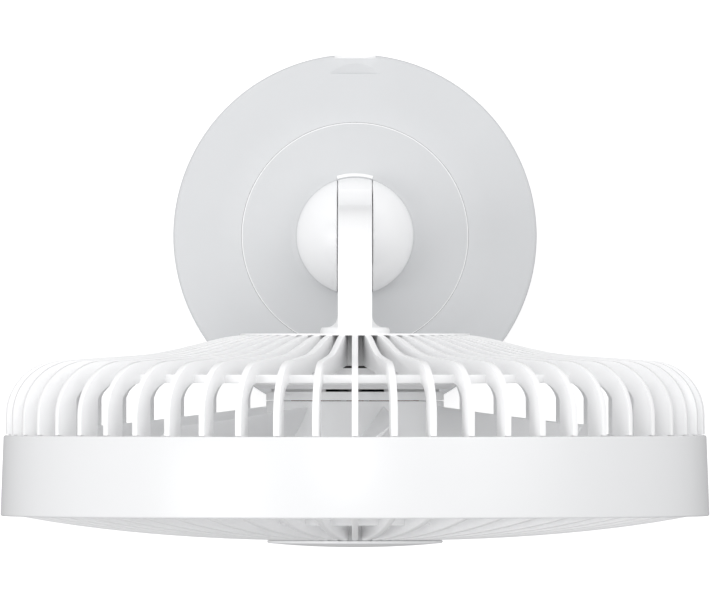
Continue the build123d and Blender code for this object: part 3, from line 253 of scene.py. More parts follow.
# %% Tool grain: fine height for a bump, and the gloss that goes with it
grain = new_group(
    "tool_grain",
    (("Vector", VECTOR, None), ("Grain Scale", FLOAT, 2200.0), ("Wave Scale", FLOAT, 40.0),
     ("Gloss", FLOAT, 0.3), ("Gloss Spread", FLOAT, 0.06)),
    (("Height", FLOAT), ("Roughness", FLOAT)),
)
grain_noise = add_noise(grain, "Grain Scale", 2.0)
wave_noise = add_noise(grain, "Wave Scale", 2.0)
height_sum = grain.nodes.new("ShaderNodeMath")
height_sum.operation = "MULTIPLY_ADD"
height_sum.inputs[1].default_value = 0.35
gloss_sum = grain.nodes.new("ShaderNodeMath")
gloss_sum.operation = "MULTIPLY_ADD"
grain.links.new(wave_noise.outputs["Fac"], height_sum.inputs[0])
grain.links.new(grain_noise.outputs["Fac"], height_sum.inputs[2])
grain.links.new(wave_noise.outputs["Fac"], gloss_sum.inputs[0])
grain.links.new(grain.nodes["in"].outputs["Gloss Spread"], gloss_sum.inputs[1])
grain.links.new(grain.nodes["in"].outputs["Gloss"], gloss_sum.inputs[2])
grain.links.new(height_sum.outputs[0], grain.nodes["out"].inputs["Height"])
grain.links.new(gloss_sum.outputs[0], grain.nodes["out"].inputs["Roughness"])

# %% Painted edge highlight: corners of a mesh are painted a little lighter
edge_highlight_group = new_group(
    "painted_edge_highlight",
    (("Color", COLOUR, (0.8, 0.8, 0.8, 1)), ("Edge Tone", COLOUR, (0.95, 0.95, 0.95, 1)),
     ("Strength", FLOAT, 0.5)),
    (("Color", COLOUR),),
)
corner = edge_highlight_group.nodes.new("ShaderNodeNewGeometry")
corner_range = edge_highlight_group.nodes.new("ShaderNodeMapRange")
corner_range.inputs["From Min"].default_value = 0.52
corner_range.inputs["From Max"].default_value = 0.62
corner_weight = edge_highlight_group.nodes.new("ShaderNodeMath")
corner_weight.operation = "MULTIPLY"
edge_highlight_mix = edge_highlight_group.nodes.new("ShaderNodeMix")
edge_highlight_mix.data_type = "RGBA"
edge_highlight_group.links.new(corner.outputs["Pointiness"], corner_range.inputs["Value"])
edge_highlight_group.links.new(corner_range.outputs["Result"], corner_weight.inputs[0])
edge_highlight_group.links.new(edge_highlight_group.nodes["in"].outputs["Strength"], corner_weight.inputs[1])
edge_highlight_group.links.new(corner_weight.outputs[0], edge_highlight_mix.inputs["Factor"])
edge_highlight_group.links.new(edge_highlight_group.nodes["in"].outputs["Color"], edge_highlight_mix.inputs["A"])
edge_highlight_group.links.new(edge_highlight_group.nodes["in"].outputs["Edge Tone"], edge_highlight_mix.inputs["B"])
edge_highlight_group.links.new(edge_highlight_mix.outputs["Result"], edge_highlight_group.nodes["out"].inputs["Color"])
print("node groups:", [g.name for g in bpy.data.node_groups])

# %% [markdown]
# Every finish starts the same way: a Principled shader fed by clouds for the colour
# and by grain for gloss and bump.  What differs is the values, so one function
# places the groups, and each finish keeps its own line of numbers.

# %% Moulded and cast finishes
full_bump = 0.1
grain_depth_share = 0.2
# how much lighter the painted edge highlight is than the tone
edge_lift = 1.08
coat_roughness = 0.18


def finish(name, tone, drift, gloss, grain_size=0.45, bump=0.03, edge_highlight=0.0, metal=0.0, coat=0.0):
    """A finish from two close tones; the grain's size is in millimetres."""
    made = bpy.data.materials.new(name)
    made.use_nodes = True
    tree = made.node_tree
    shader = tree.nodes["Principled BSDF"]
    place = tree.nodes.new("ShaderNodeTexCoord")
    cloud = tree.nodes.new("ShaderNodeGroup")
    cloud.node_tree = clouds
    cloud.inputs["Tone"].default_value = (*tone, 1)
    cloud.inputs["Drift"].default_value = (*drift, 1)
    skin = tree.nodes.new("ShaderNodeGroup")
    skin.node_tree = grain
    skin.inputs["Grain Scale"].default_value = 1 / (grain_size * mm)
    skin.inputs["Gloss"].default_value = gloss
    tree.links.new(place.outputs["Object"], cloud.inputs["Vector"])
    tree.links.new(place.outputs["Object"], skin.inputs["Vector"])
    colour = cloud.outputs["Color"]
    # painted highlight: convex edges are mixed towards a lighter tone
    if edge_highlight > 0:
        edge = tree.nodes.new("ShaderNodeGroup")
        edge.node_tree = edge_highlight_group
        edge.inputs["Strength"].default_value = edge_highlight
        edge.inputs["Edge Tone"].default_value = (*[min(1, c * edge_lift) for c in tone], 1)
        tree.links.new(colour, edge.inputs["Color"])
        colour = edge.outputs["Color"]
    raised = tree.nodes.new("ShaderNodeBump")
    raised.inputs["Strength"].default_value = bump / full_bump
    raised.inputs["Distance"].default_value = grain_size * mm * grain_depth_share
    tree.links.new(skin.outputs["Height"], raised.inputs["Height"])
    tree.links.new(colour, shader.inputs["Base Color"])
    tree.links.new(skin.outputs["Roughness"], shader.inputs["Roughness"])
    tree.links.new(raised.outputs["Normal"], shader.inputs["Normal"])
    shader.inputs["Metallic"].default_value = metal
    shader.inputs["Coat Weight"].default_value = coat
    shader.inputs["Coat Roughness"].default_value = coat_roughness
    return made


white_gloss = finish(
    "white_gloss", (0.93, 0.935, 0.94), (0.91, 0.915, 0.92), 0.26, edge_highlight=0.5, coat=0.12
)
# painted shade: the base's plastic is given a greyer tone than the head's white, for the dimmer light
# on the base
base_satin_painted_shade = finish(
    "base_satin_painted_shade", (0.65, 0.66, 0.67), (0.625, 0.635, 0.645), 0.34, edge_highlight=0.4, coat=0.05
)
grille_white = finish(
    "grille_white", (0.965, 0.967, 0.97), (0.95, 0.953, 0.957), 0.30, edge_highlight=0.6, coat=0.1
)
band_white = finish(
    "band_white", (0.82, 0.825, 0.83), (0.805, 0.81, 0.815), 0.27, edge_highlight=0.5, coat=0.12
)
blade_white = finish("blade_white", (0.89, 0.895, 0.90), (0.86, 0.865, 0.87), 0.33, edge_highlight=0.4)
housing_grey = finish("housing_grey", (0.86, 0.86, 0.865), (0.83, 0.83, 0.835), 0.4)
foot_rubber = finish(
    "foot_rubber", (0.045, 0.045, 0.047), (0.06, 0.06, 0.06), 0.75, grain_size=0.8, bump=0.08
)
acetal_white = finish("acetal_white", (0.78, 0.77, 0.73), (0.74, 0.73, 0.69), 0.42)
screw_zinc = finish(
    "screw_zinc", (0.66, 0.67, 0.69), (0.56, 0.57, 0.6), 0.3, grain_size=0.3, metal=1.0
)
ballast_steel = finish(
    "ballast_steel", (0.19, 0.19, 0.2), (0.12, 0.12, 0.125), 0.55, grain_size=1.2, bump=0.09,
    metal=0.7,
)
motor_can = finish(
    "motor_can", (0.6, 0.6, 0.61), (0.5, 0.5, 0.52), 0.33, grain_size=0.5, metal=0.95
)
spine_alloy = finish(
    "spine_alloy", (0.52, 0.53, 0.54), (0.45, 0.46, 0.47), 0.5, grain_size=0.9, bump=0.06,
    metal=0.85,
)
magnet_black = finish(
    "magnet_black", (0.05, 0.05, 0.052), (0.08, 0.08, 0.08), 0.6, grain_size=0.7, bump=0.07
)
switch_black = finish("switch_black", (0.03, 0.03, 0.032), (0.05, 0.05, 0.05), 0.45)
print("finishes so far:", len(bpy.data.materials))

# %% [markdown]
# Three inner materials have a pattern of their own.  The stator is a stack of thin
# steel sheets, so fine lines run round it; the windings are turns of enamelled wire;
# the boards are green varnish over copper tracks.  Each is a plain finish with one
# more texture mixed in.  The motor's axis is Y, and the bands of a Wave texture that
# follow one another along Y do for both the stack and the turns.

# %% Sheets, wire and circuit boards
wave_period = math.tau / 20    # how far apart the Wave texture's bands are at scale 1


def add_bands(material, pitch, across, tone, amount, depth):
    """Bands along one axis, in colour and in height; pitch and depth in millimetres."""
    tree = material.node_tree
    shader = tree.nodes["Principled BSDF"]
    place = tree.nodes.new("ShaderNodeTexCoord")
    bands = tree.nodes.new("ShaderNodeTexWave")
    bands.bands_direction = across
    bands.inputs["Scale"].default_value = wave_period / (pitch * mm)
    tree.links.new(place.outputs["Object"], bands.inputs["Vector"])
    old_colour = shader.inputs["Base Color"].links[0].from_socket
    mixed = tree.nodes.new("ShaderNodeMix")
    mixed.data_type = "RGBA"
    mixed.inputs["B"].default_value = (*tone, 1)
    weight = tree.nodes.new("ShaderNodeMath")
    weight.operation = "MULTIPLY"
    weight.inputs[1].default_value = amount
    tree.links.new(bands.outputs["Fac"], weight.inputs[0])
    tree.links.new(weight.outputs[0], mixed.inputs["Factor"])
    tree.links.new(old_colour, mixed.inputs["A"])
    tree.links.new(mixed.outputs["Result"], shader.inputs["Base Color"])
    raised = tree.nodes.new("ShaderNodeBump")
    raised.inputs["Distance"].default_value = depth * mm
    tree.links.new(bands.outputs["Fac"], raised.inputs["Height"])
    tree.links.new(raised.outputs["Normal"], shader.inputs["Normal"])


stator_iron = finish("stator_iron", (0.34, 0.35, 0.37), (0.28, 0.29, 0.3), 0.42, metal=0.9)
add_bands(stator_iron, 3.1416, "Y", (0.12, 0.12, 0.13), 0.7, 0.1)
copper_wire = finish("copper_wire", (0.60, 0.24, 0.1), (0.5, 0.18, 0.07), 0.3, metal=0.9)
add_bands(copper_wire, 3.7699, "Y", (0.25, 0.08, 0.03), 0.8, 0.25)

board_green = finish(
    "board_green", (0.012, 0.10, 0.045), (0.01, 0.13, 0.05), 0.28, grain_size=0.6, coat=0.3
)
tracks_per_metre = 260.0
track_colour = (0.05, 0.22, 0.09, 1)
board_tree = board_green.node_tree
tracks = board_tree.nodes.new("ShaderNodeTexVoronoi")
tracks.feature = "DISTANCE_TO_EDGE"
tracks.distance = "MANHATTAN"
tracks.inputs["Scale"].default_value = tracks_per_metre
track_line = board_tree.nodes.new("ShaderNodeMapRange")
track_line.inputs["From Min"].default_value = 0.08
track_line.inputs["From Max"].default_value = 0.04
track_mix = board_tree.nodes.new("ShaderNodeMix")
track_mix.data_type = "RGBA"
track_mix.inputs["B"].default_value = track_colour
board_place = board_tree.nodes.new("ShaderNodeTexCoord")
board_shader = board_tree.nodes["Principled BSDF"]
varnish = board_shader.inputs["Base Color"].links[0].from_socket
board_tree.links.new(board_place.outputs["Object"], tracks.inputs["Vector"])
board_tree.links.new(tracks.outputs["Distance"], track_line.inputs["Value"])
board_tree.links.new(track_line.outputs["Result"], track_mix.inputs["Factor"])
board_tree.links.new(varnish, track_mix.inputs["A"])
board_tree.links.new(track_mix.outputs["Result"], board_shader.inputs["Base Color"])
print("patterned finishes ready")

# %% [markdown]
# Every engineered part now takes its finish.  The record already sorts the nodes into
# material slots, so one table from slot to finish dresses nearly all of them.  The
# base's cover and plate are the exceptions: they are a satin grey-white, whose greyer
# tone is painted shade, while the head, the neck and the dome are glossier and whiter.

# %% Dress the engineered parts
slot_finish = {
    "white_shell": white_gloss,
    "white_grille": grille_white,
    "white_impeller": blade_white,
    "grey_housing": housing_grey,
    "ballast_steel": ballast_steel,
    "foot_rubber": foot_rubber,
    "zinc_screw": screw_zinc,
    "acetal": acetal_white,
    "motor_can": motor_can,
    "board_green": board_green,
    "switch_black": switch_black,
    "spine_alloy": spine_alloy,
    "stator_iron": stator_iron,
    "copper_wire": copper_wire,
    "magnet_black": magnet_black,
}
node_slot = {}
for entry in frame["record"]["subparts"]:
    node_slot[entry["node"]] = entry["material_slot"]
own_finish = {"base_cover": base_satin_painted_shade, "base_plate": base_satin_painted_shade}
for node_name, node in nodes.items():
    chosen = own_finish.get(node_name) or slot_finish.get(node_slot.get(node_name), white_gloss)
    node.data.materials.clear()
    node.data.materials.append(chosen)
print("dressed", len(nodes), "nodes;", len(node_slot), "named in the record's slots")

# %% [markdown]
# Round parts of the head are turned shapes.  The frame's meshes show their facets up
# close, so the visible ones are turned again here.  One helper lays a profile of
# radius and depth beside the axis and spins it with many steps; another finishes
# a piece: it merges doubles, turns the faces outwards, rounds the shading between
# soft faces, and hands the piece to its body.

# %% Helpers for turned pieces
fine_steps = 224
crease_angle = 35


def add_loop(bm, points, closed):
    """Vertices and edges through points; returns both for an operator."""
    verts = [bm.verts.new(point) for point in points]
    pairs = list(zip(verts, verts[1:]))
    if closed:
        pairs.append((verts[-1], verts[0]))
    return verts + [bm.edges.new(pair) for pair in pairs]


def turn(bm, points, centre, line, steps=fine_steps, closed=True):
    """Spins a profile all round a line; a closed profile becomes a ring."""
    loop = add_loop(bm, points, closed)
    bmesh.ops.spin(
        bm, geom=loop, cent=centre, axis=line, angle=math.tau, steps=steps, use_merge=True
    )


def arc(centre, radius, start, end, steps):
    """Points on an arc in a profile: radius and depth pairs, angles in degrees."""
    turns = [math.radians(start + (end - start) * i / steps) for i in range(steps + 1)]
    return [(centre[0] + radius * math.cos(t), centre[1] + radius * math.sin(t)) for t in turns]


def soft_curve(start, pull, push, end, steps):
    """Points on one smooth bend between two points, steered by two handles."""
    ends = [Vector((*p, 0)) for p in (start, pull, push, end)]
    return [(p.x, p.y) for p in interpolate_bezier(*ends, steps)]


def hand_over(name, bm, material, body, replaced):
    """Makes the object: clean faces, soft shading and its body."""
    bmesh.ops.remove_doubles(bm, verts=bm.verts, dist=0.002 * mm)
    bmesh.ops.dissolve_degenerate(bm, edges=bm.edges, dist=0.001 * mm)
    bmesh.ops.recalc_face_normals(bm, faces=bm.faces)
    mesh = bpy.data.meshes.new(name)
    bm.to_mesh(mesh)
    bm.free()
    mesh.shade_smooth()
    mesh.set_sharp_from_angle(angle=math.radians(crease_angle))
    mesh.materials.append(material)
    piece = bpy.data.objects.new(name, mesh)
    bpy.context.scene.collection.objects.link(piece)
    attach(piece, body)
    if replaced:
        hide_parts(*replaced)
    print(name, len(mesh.polygons), "faces on", body)
    return piece


# %% [markdown]
# The ribs.  Each grille is one moulding with fifty-six thin ribs that run out from the
# hub and fold round the edge.  One rib is drawn in side view, extruded to its
# thickness and bevelled, because a moulded rib has soft corners that catch the light.
# Spin with duplicates then sets the other fifty-five round the axis, so they all match.
# A rib stands in the plane through the axis that points up.

# %% Ribs: one drawn, the rest turned round the axis
rib_count = 56
rib_thickness = 2.9
rib_corner = 0.75
grille_radius = (grille_high.x - grille_low.x) / 2 / mm
hoop_radius = 161.2
hoop_wall = 2.6
hoop_joint = 62.0
band_start = (plate_y - band_high.y) / mm
band_end = (plate_y - band_low.y) / mm


def rib_point(radius, depth):
    """A point above the head's axis, in the middle plane of the top rib."""
    return head_centre + Vector((0, -depth * mm, radius * mm))


def add_ribs(bm, outline):
    """Extrudes and bevels one rib outline, and repeats it round the head."""
    loop = add_loop(bm, [rib_point(*p) for p in outline], closed=True)
    face = bmesh.ops.contextual_create(bm, geom=loop)["faces"]
    bmesh.ops.translate(bm, verts=bm.verts, vec=(-rib_thickness / 2 * mm, 0, 0))
    block = bmesh.ops.extrude_face_region(bm, geom=face)["geom"]
    raised = [v for v in block if isinstance(v, bmesh.types.BMVert)]
    bmesh.ops.translate(bm, verts=raised, vec=(rib_thickness * mm, 0, 0))
    rim = [e for e in bm.edges if abs(e.verts[0].co.x - e.verts[1].co.x) < 1e-6]
    bmesh.ops.bevel(
        bm, geom=rim, offset=rib_corner * mm, affect="EDGES", segments=2, profile=0.5,
        material=-1, clamp_overlap=True,
    )
    one = list(bm.verts) + list(bm.edges) + list(bm.faces)
    bmesh.ops.spin(
        bm, geom=one, cent=head_centre, axis=head_line, use_duplicate=True,
        angle=math.tau * (rib_count - 1) / rib_count, steps=rib_count - 1,
    )


print("rib step", round(360 / rib_count, 2), "degrees; outer radius", round(grille_radius, 1))

# %% [markdown]
# Rear grille.  Its ribs leave the hub plate nearly flat, sink in a long S, run out
# straight and fold round a wide corner into the band.  Behind them the hub plate and
# the drum carry the motor, and a flat ring ties all ribs just inside their wide corner.

# %% Rear grille
hub_plate_radius = 53.5
hub_plate_thickness = 0.8
drum_depth = 15.0
drum_front_radius, drum_rear_radius = 45.5, 40.0
drum_wall, drum_floor = 2.4, 3.0
wire_hole_radius = 4.5
small_edge = 0.4
rear_corner, rear_corner_depth = 25.5, 38.0
rib_root = 0.5
rib_tail = 5
rib_inner = (153.0, 30.2)
rib_bend_radius = 105.0
rear_ring_radius = 137.6
ring_width, ring_corner = 4.0, 0.5
ring_face = 22.8
rib_band_gap = 0.4
hoop_set_in = 0.5

corner_turn = grille_radius - rear_corner
rib_end = band_start - rib_band_gap
hub_rim = (hub_plate_radius, hub_plate_thickness)
rear_outline = soft_curve(hub_rim, (66.0, 1.6), (84.0, 9.2), (104.0, 10.2), 12)
rear_outline += arc((corner_turn, rear_corner_depth), rear_corner, -90, 0, 14)
rear_outline += [(grille_radius, rib_end), (hoop_radius, rib_end)]
rear_outline += [(radius, band_start + rib_tail) for radius in (hoop_radius, hoop_radius - hoop_wall)]
rear_outline += [(rib_inner[0], rib_end), rib_inner]
rear_outline += soft_curve(rib_inner, (151.5, 26.8), (147.0, 23.2), (141.9, ring_face), 5)[1:]
rear_outline += [(rib_bend_radius, ring_face), (95.0, 18.0), (49.0, drum_depth)]
rear_outline += [(drum_front_radius - 1, drum_depth), (drum_rear_radius - 4, rib_root)]
rear_outline += [(hub_plate_radius, rib_root)]

rear_bm = bmesh.new()
add_ribs(rear_bm, rear_outline)
hub_profile = [(wire_hole_radius, 0), (hub_plate_radius - 0.3, 0), (hub_plate_radius, 0.3)]
hub_profile += [hub_rim, (drum_rear_radius, hub_plate_thickness)]
hub_profile += [(drum_front_radius, drum_depth - small_edge)]
hub_profile += [(drum_front_radius - small_edge, drum_depth)]
hub_profile += [(drum_front_radius - drum_wall + small_edge, drum_depth)]
hub_profile += [(drum_front_radius - drum_wall, drum_depth - small_edge)]
hub_profile += [(drum_rear_radius - drum_wall, drum_floor), (wire_hole_radius, drum_floor)]
turn(rear_bm, [head_point(*p) for p in hub_profile], head_centre, head_line)


def soft_ring(bm, inner, outer, low, high):
    """A flat ring with rounded corners, turned about the head's axis."""
    corner = ring_corner
    profile = arc((outer - corner, high - corner), corner, 0, 90, 3)
    profile += arc((inner + corner, high - corner), corner, 90, 180, 3)
    profile += arc((inner + corner, low + corner), corner, 180, 270, 3)
    profile += arc((outer - corner, low + corner), corner, 270, 360, 3)
    turn(bm, [head_point(*p) for p in profile], head_centre, head_line)


soft_ring(rear_bm, rear_ring_radius, rear_ring_radius + ring_width, ring_face - ring_width, ring_face)
soft_ring(rear_bm, hoop_radius - hoop_wall, hoop_radius, band_start + hoop_set_in, hoop_joint)
hand_over("rear_grille_ribs", rear_bm, grille_white, "head", ["rear_grille"])

# %% [markdown]
# Front grille.  Its ribs are shallow arches from the band to the flat hub that carries
# the cap.  The hoop under the band is a plain ring, which meets the rear hoop end to end.

# %% Front grille
hub_front, hub_edge = 96.0, 39.0
hub_floor_depth, hub_rim_depth, hub_rim_wall = 2.0, 8.0, 2.5
rib_tip, rib_tip_back = (160.4, 84.2), 74.0
rib_heel, rib_foot = (155.6, 78.0), (38.0, 88.4)
front_ring_radius = 105.0
front_ring_back, front_ring_front = 84.9, 88.5
hoop_gap, hoop_front_set_in = 0.2, 0.6

front_outline = soft_curve((hub_edge + 1, hub_front), (80, 95.2), (125, 91.4), rib_tip, 12)
front_outline += [(rib_tip[0], rib_tip_back), rib_heel]
front_outline += soft_curve(rib_heel, (125, 84.2), (80, 87.6), rib_foot, 8)[1:]
front_outline += [(rib_foot[0], hub_front)]

front_bm = bmesh.new()
add_ribs(front_bm, front_outline)
hub_floor, hub_skirt = hub_front - hub_floor_depth, hub_front - hub_rim_depth
dish = [(0, hub_floor), (hub_edge - hub_rim_wall, hub_floor), (hub_edge - hub_rim_wall, hub_skirt)]
dish += [(hub_edge - 0.3, hub_skirt), (hub_edge, hub_skirt + 0.3)]
dish += [(hub_edge, hub_front), (0, hub_front)]
turn(front_bm, [head_point(*p) for p in dish], head_centre, head_line, closed=False)
front_ring_outer = front_ring_radius + ring_width
soft_ring(front_bm, front_ring_radius, front_ring_outer, front_ring_back, front_ring_front)
hoop_back, hoop_front = hoop_joint + hoop_gap, band_end - hoop_front_set_in
soft_ring(front_bm, hoop_radius - hoop_wall, hoop_radius, hoop_back, hoop_front)
hand_over("front_grille_ribs", front_bm, grille_white, "head", ["front_grille"])

# %% [markdown]
# Band and cap.  The band is a deep plain hoop, a hair wider at the front, with a small
# rounded lip at both edges: the front lip shows as one grey line.  The cap is a thin
# lens-shaped cover with a crisp rounded edge.

# %% Outer band
hoop_play = 0.3
rear_rim = 163.6
front_rim = (band_high.x - band_low.x) / 2 / mm
lip, inner_lip = 0.9, 0.4
inner_turn = hoop_radius + hoop_play + inner_lip
band_profile = arc((rear_rim - lip, band_start + lip), lip, 270, 358, 5)
band_profile += arc((front_rim - lip, band_end - lip), lip, -2, 90, 5)
band_profile += arc((inner_turn, band_end - inner_lip), inner_lip, 90, 180, 3)
band_profile += arc((inner_turn, band_start + inner_lip), inner_lip, 180, 270, 3)
band_bm = bmesh.new()
turn(band_bm, [head_point(*p) for p in band_profile], head_centre, head_line, steps=288)
hand_over("head_band", band_bm, band_white, "head", ["outer_band"])

# %% Front cap
cap_low, cap_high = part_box("front_cap")
cap_radius = (cap_high.x - cap_low.x) / 2 / mm
cap_front = (plate_y - cap_low.y) / mm
cap_back = hub_front + 0.1
cap_round = 0.7
cap_profile = [(0, cap_back), (cap_radius - 0.4, cap_back), (cap_radius, cap_back + 0.3)]
cap_profile += arc((cap_radius - cap_round, cap_back + cap_round), cap_round, 0, 75, 4)
cap_profile += soft_curve(
    (cap_radius - 2, cap_back + 1.5), (26, cap_front - 0.5), (12, cap_front), (0, cap_front), 10
)
cap_bm = bmesh.new()
turn(cap_bm, [head_point(*p) for p in cap_profile], head_centre, head_line, closed=False)
hand_over("cap_lens", cap_bm, white_gloss, "head", ["front_cap"])

# %% [markdown]
# Impeller.  A fan blade is a twisted, cambered wing: steep and short at the hub, flat
# and long at the tip.  Each cross-section starts as a circle, which is squeezed into a
# rounded leaf, bent to its camber, turned to its pitch and wrapped round the axis.
# Bridging the sections gives one clean skin, and spin repeats the blade.

# %% One blade, from hub to tip
blade_count = 7
hub_radius = 41.3
blade_root, blade_tip = 39.0, 123.0
blade_thickness = 2.6
blade_edge = 0.5
camber_share = 0.09            # of the whole chord
section_count = 9
leaf_points = 28

# at the root, in the middle and at the tip
half_chords = (19, 25, 28)
pitches = (45, 32, 23)
depths = (47, 52, 54)
sweeps = (0, 4, 10)


def through(near, middle, far, share):
    """Value of a smooth curve through three values, at a share of the way."""
    return (
        near * (1 - share) * (1 - 2 * share) + middle * 4 * share * (1 - share)
        + far * share * (2 * share - 1)
    )


def blade_point(radius, along, lift, pitch, depth, sweep):
    """Wraps a point of a section round the axis, on the blade that points up."""
    c, s = math.cos(math.radians(pitch)), math.sin(math.radians(pitch))
    across = sweep + along * c - lift * s
    forwards = depth + along * s + lift * c
    turned = across / radius
    side = -radius * math.sin(turned)
    height = radius * math.cos(turned)
    return head_centre + Vector((side * mm, -forwards * mm, height * mm))


blade_bm = bmesh.new()
for number in range(section_count):
    share = number / (section_count - 1)
    radius = blade_root + (blade_tip - blade_root) * share
    half_chord, pitch = through(*half_chords, share), through(*pitches, share)
    depth, sweep = through(*depths, share), through(*sweeps, share)
    camber = camber_share * 2 * half_chord
    leaf = bmesh.ops.create_circle(blade_bm, segments=leaf_points, radius=1)["verts"]
    for vert in leaf:
        along = vert.co.x * half_chord
        lift = vert.co.y * blade_thickness / 2 + camber * (1 - vert.co.x ** 2)
        vert.co = blade_point(radius, along, lift, pitch, depth, sweep)
bmesh.ops.bridge_loops(blade_bm, edges=blade_bm.edges[:])
bmesh.ops.holes_fill(blade_bm, edges=[e for e in blade_bm.edges if e.is_boundary], sides=0)
tip_edges = [
    e for e in blade_bm.edges
    if len(e.link_faces) == 2 and max(len(f.verts) for f in e.link_faces) > 4
    and (e.verts[0].co - head_centre).length > 0.9 * blade_tip * mm
]
bmesh.ops.bevel(
    blade_bm, geom=tip_edges, offset=blade_edge * mm, affect="EDGES", segments=2, profile=0.5,
    material=-1, clamp_overlap=True,
)
one_blade = list(blade_bm.verts) + list(blade_bm.edges) + list(blade_bm.faces)
bmesh.ops.spin(
    blade_bm, geom=one_blade, cent=head_centre, axis=head_line, use_duplicate=True,
    angle=math.tau * (blade_count - 1) / blade_count, steps=blade_count - 1,
)
print("blades:", blade_count, "faces:", len(blade_bm.faces))

# %% The impeller's hub
hub_back, hub_nose = 31.3, 64.0
nose_round = 6.0
hub_inner, hub_edge_round = 39.2, 0.3
nut_seat_radius, shaft_hole_radius = 9.0, 2.6
nut_seat = hub_nose - 4
nose_turn = hub_radius - nose_round
hub_cup = [(hub_inner - hub_edge_round, hub_back + hub_edge_round), (hub_inner, hub_back)]
hub_cup += [(hub_radius - hub_edge_round, hub_back), (hub_radius, hub_back + hub_edge_round)]
hub_cup += arc((nose_turn, hub_nose - nose_round), nose_round, 0, 90, 8)
hub_cup += [(nut_seat_radius + 0.5, hub_nose), (nut_seat_radius, hub_nose - 0.5)]
hub_cup += [(nut_seat_radius, nut_seat), (shaft_hole_radius, nut_seat)]
hub_cup += [(shaft_hole_radius, nut_seat - 4), (36.0, nut_seat - 2)]
hub_cup += [(hub_inner - hub_edge_round, nut_seat - 5)]
turn(blade_bm, [head_point(*p) for p in hub_cup], head_centre, head_line, steps=128)
hand_over("impeller_wheel", blade_bm, blade_white, "rotor", ["impeller"])

# %% [markdown]
# Neck.  The column is a flat bar, bent forwards behind the head, with a wheel at its
# foot that turns inside the dome's slot.  The side view is drawn once and extruded
# across; the wheel is a band of a ball, turned about the tilt axle; the flange and its
# flare are turned about the head's axis.  A heel curve joins column and wheel.

# %% Neck: column and heel
neck_half_width = 8.0
half_depth = 14.0
neck_bend = 40.0
neck_corner = 0.5
wheel_gap = 0.3
turntable_low, turntable_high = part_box("turntable_cover")
dome_radius = (turntable_high.z - pivot.z) / mm
wheel_radius = dome_radius - wheel_gap
pivot_height = pivot.z / mm
plate_reach = -plate_y / mm
bend_height = head_height / mm - neck_bend


def side_point(forwards, height, across):
    """A point in the fan's side view; forwards is towards the blown air."""
    return Vector((across * mm, -forwards * mm, height * mm))


heel = 40.0
column_foot = 4.0
heel_overlap = 8.0
heel_y = half_depth + heel
heel_rise = math.sqrt((wheel_radius + heel) ** 2 - heel_y ** 2)
heel_turn = math.degrees(math.atan2(heel_rise, heel_y))
outer_bend, inner_bend = neck_bend + half_depth, neck_bend - half_depth
column = arc((-heel_y, pivot_height + heel_rise), heel, -heel_turn, 0, 12)
column += arc((neck_bend, bend_height), outer_bend, 180, 90, 20)
column += [(plate_reach, bend_height + outer_bend), (plate_reach, bend_height + inner_bend)]
column += arc((neck_bend, bend_height), inner_bend, 90, 180, 14)
column += [(y, pivot_height + column_foot) for y in (half_depth, -heel_overlap)]
neck_bm = bmesh.new()
outline = add_loop(neck_bm, [side_point(*p, -neck_half_width) for p in column], True)
bar_face = bmesh.ops.contextual_create(neck_bm, geom=outline)["faces"]
far_side = bmesh.ops.extrude_face_region(neck_bm, geom=bar_face)["geom"]
bmesh.ops.translate(
    neck_bm, verts=[v for v in far_side if isinstance(v, bmesh.types.BMVert)],
    vec=(2 * neck_half_width * mm, 0, 0),
)
long_edges = [e for e in neck_bm.edges if abs(e.verts[0].co.x - e.verts[1].co.x) < 1e-6]
bmesh.ops.bevel(
    neck_bm, geom=long_edges, offset=neck_corner * mm, affect="EDGES", segments=3,
    profile=0.5, material=-1, clamp_overlap=True,
)
print("neck column:", len(neck_bm.faces), "faces; wheel radius", round(wheel_radius, 2), "mm")

# %% Neck: wheel, flange and flare
rim_front, rim_rear = 139.0, 113.0    # degrees down from the top
wheel_bore = 11.1
tread = [
    (x, math.sqrt(wheel_radius ** 2 - x ** 2))
    for x in [neck_half_width * (i / 6 - 1) for i in range(13)]
]
tread = [(-neck_half_width, wheel_bore)] + tread + [(neck_half_width, wheel_bore)]
lean = math.radians(rim_front)
spoke = Vector((0, -math.sin(lean), math.cos(lean)))
wheel_loop = [pivot + Vector((x * mm, 0, 0)) + spoke * (r * mm) for x, r in tread]
wheel_geom = add_loop(neck_bm, wheel_loop, closed=True)
bmesh.ops.contextual_create(neck_bm, geom=wheel_geom)
turned_rim = bmesh.ops.spin(
    neck_bm, geom=wheel_geom, cent=pivot, axis=(-1, 0, 0), steps=84,
    angle=math.radians(rim_front + rim_rear),
)
bmesh.ops.contextual_create(neck_bm, geom=turned_rim["geom_last"])
flare, flange, flange_edge = 5.7, 2.8, 16.2
flange_profile = [(0, -flange - flare), (neck_half_width, -flange - flare)]
flange_profile += arc((neck_half_width + flare, -flange - flare), flare, 180, 90, 8)[1:]
flange_profile += [(flange_edge - 0.8, -flange), (flange_edge - 0.2, -flange + 0.9)]
flange_profile += [(flange_edge, -flange + 1.6), (flange_edge, 0), (0, 0)]
turn(
    neck_bm, [head_point(*p) for p in flange_profile], head_centre, head_line, steps=96,
    closed=False,
)
hand_over("neck_bar", neck_bm, white_gloss, "head", ["neck_shell"])

# %% [markdown]
# Swivelling top.  The dome and the shallow cone round it are one moulded shell.  Its
# outer skin is turned as an open profile, the slot for the wheel is cut out of the
# skin with two cuts, and a Solidify modifier then gives the skin its wall, so the
# slot gets true edges.  The cone keeps the base's satin, whose greyer tone is painted
# shade; the dome is polished, and a thin white ring at the seam is a painted highlight.

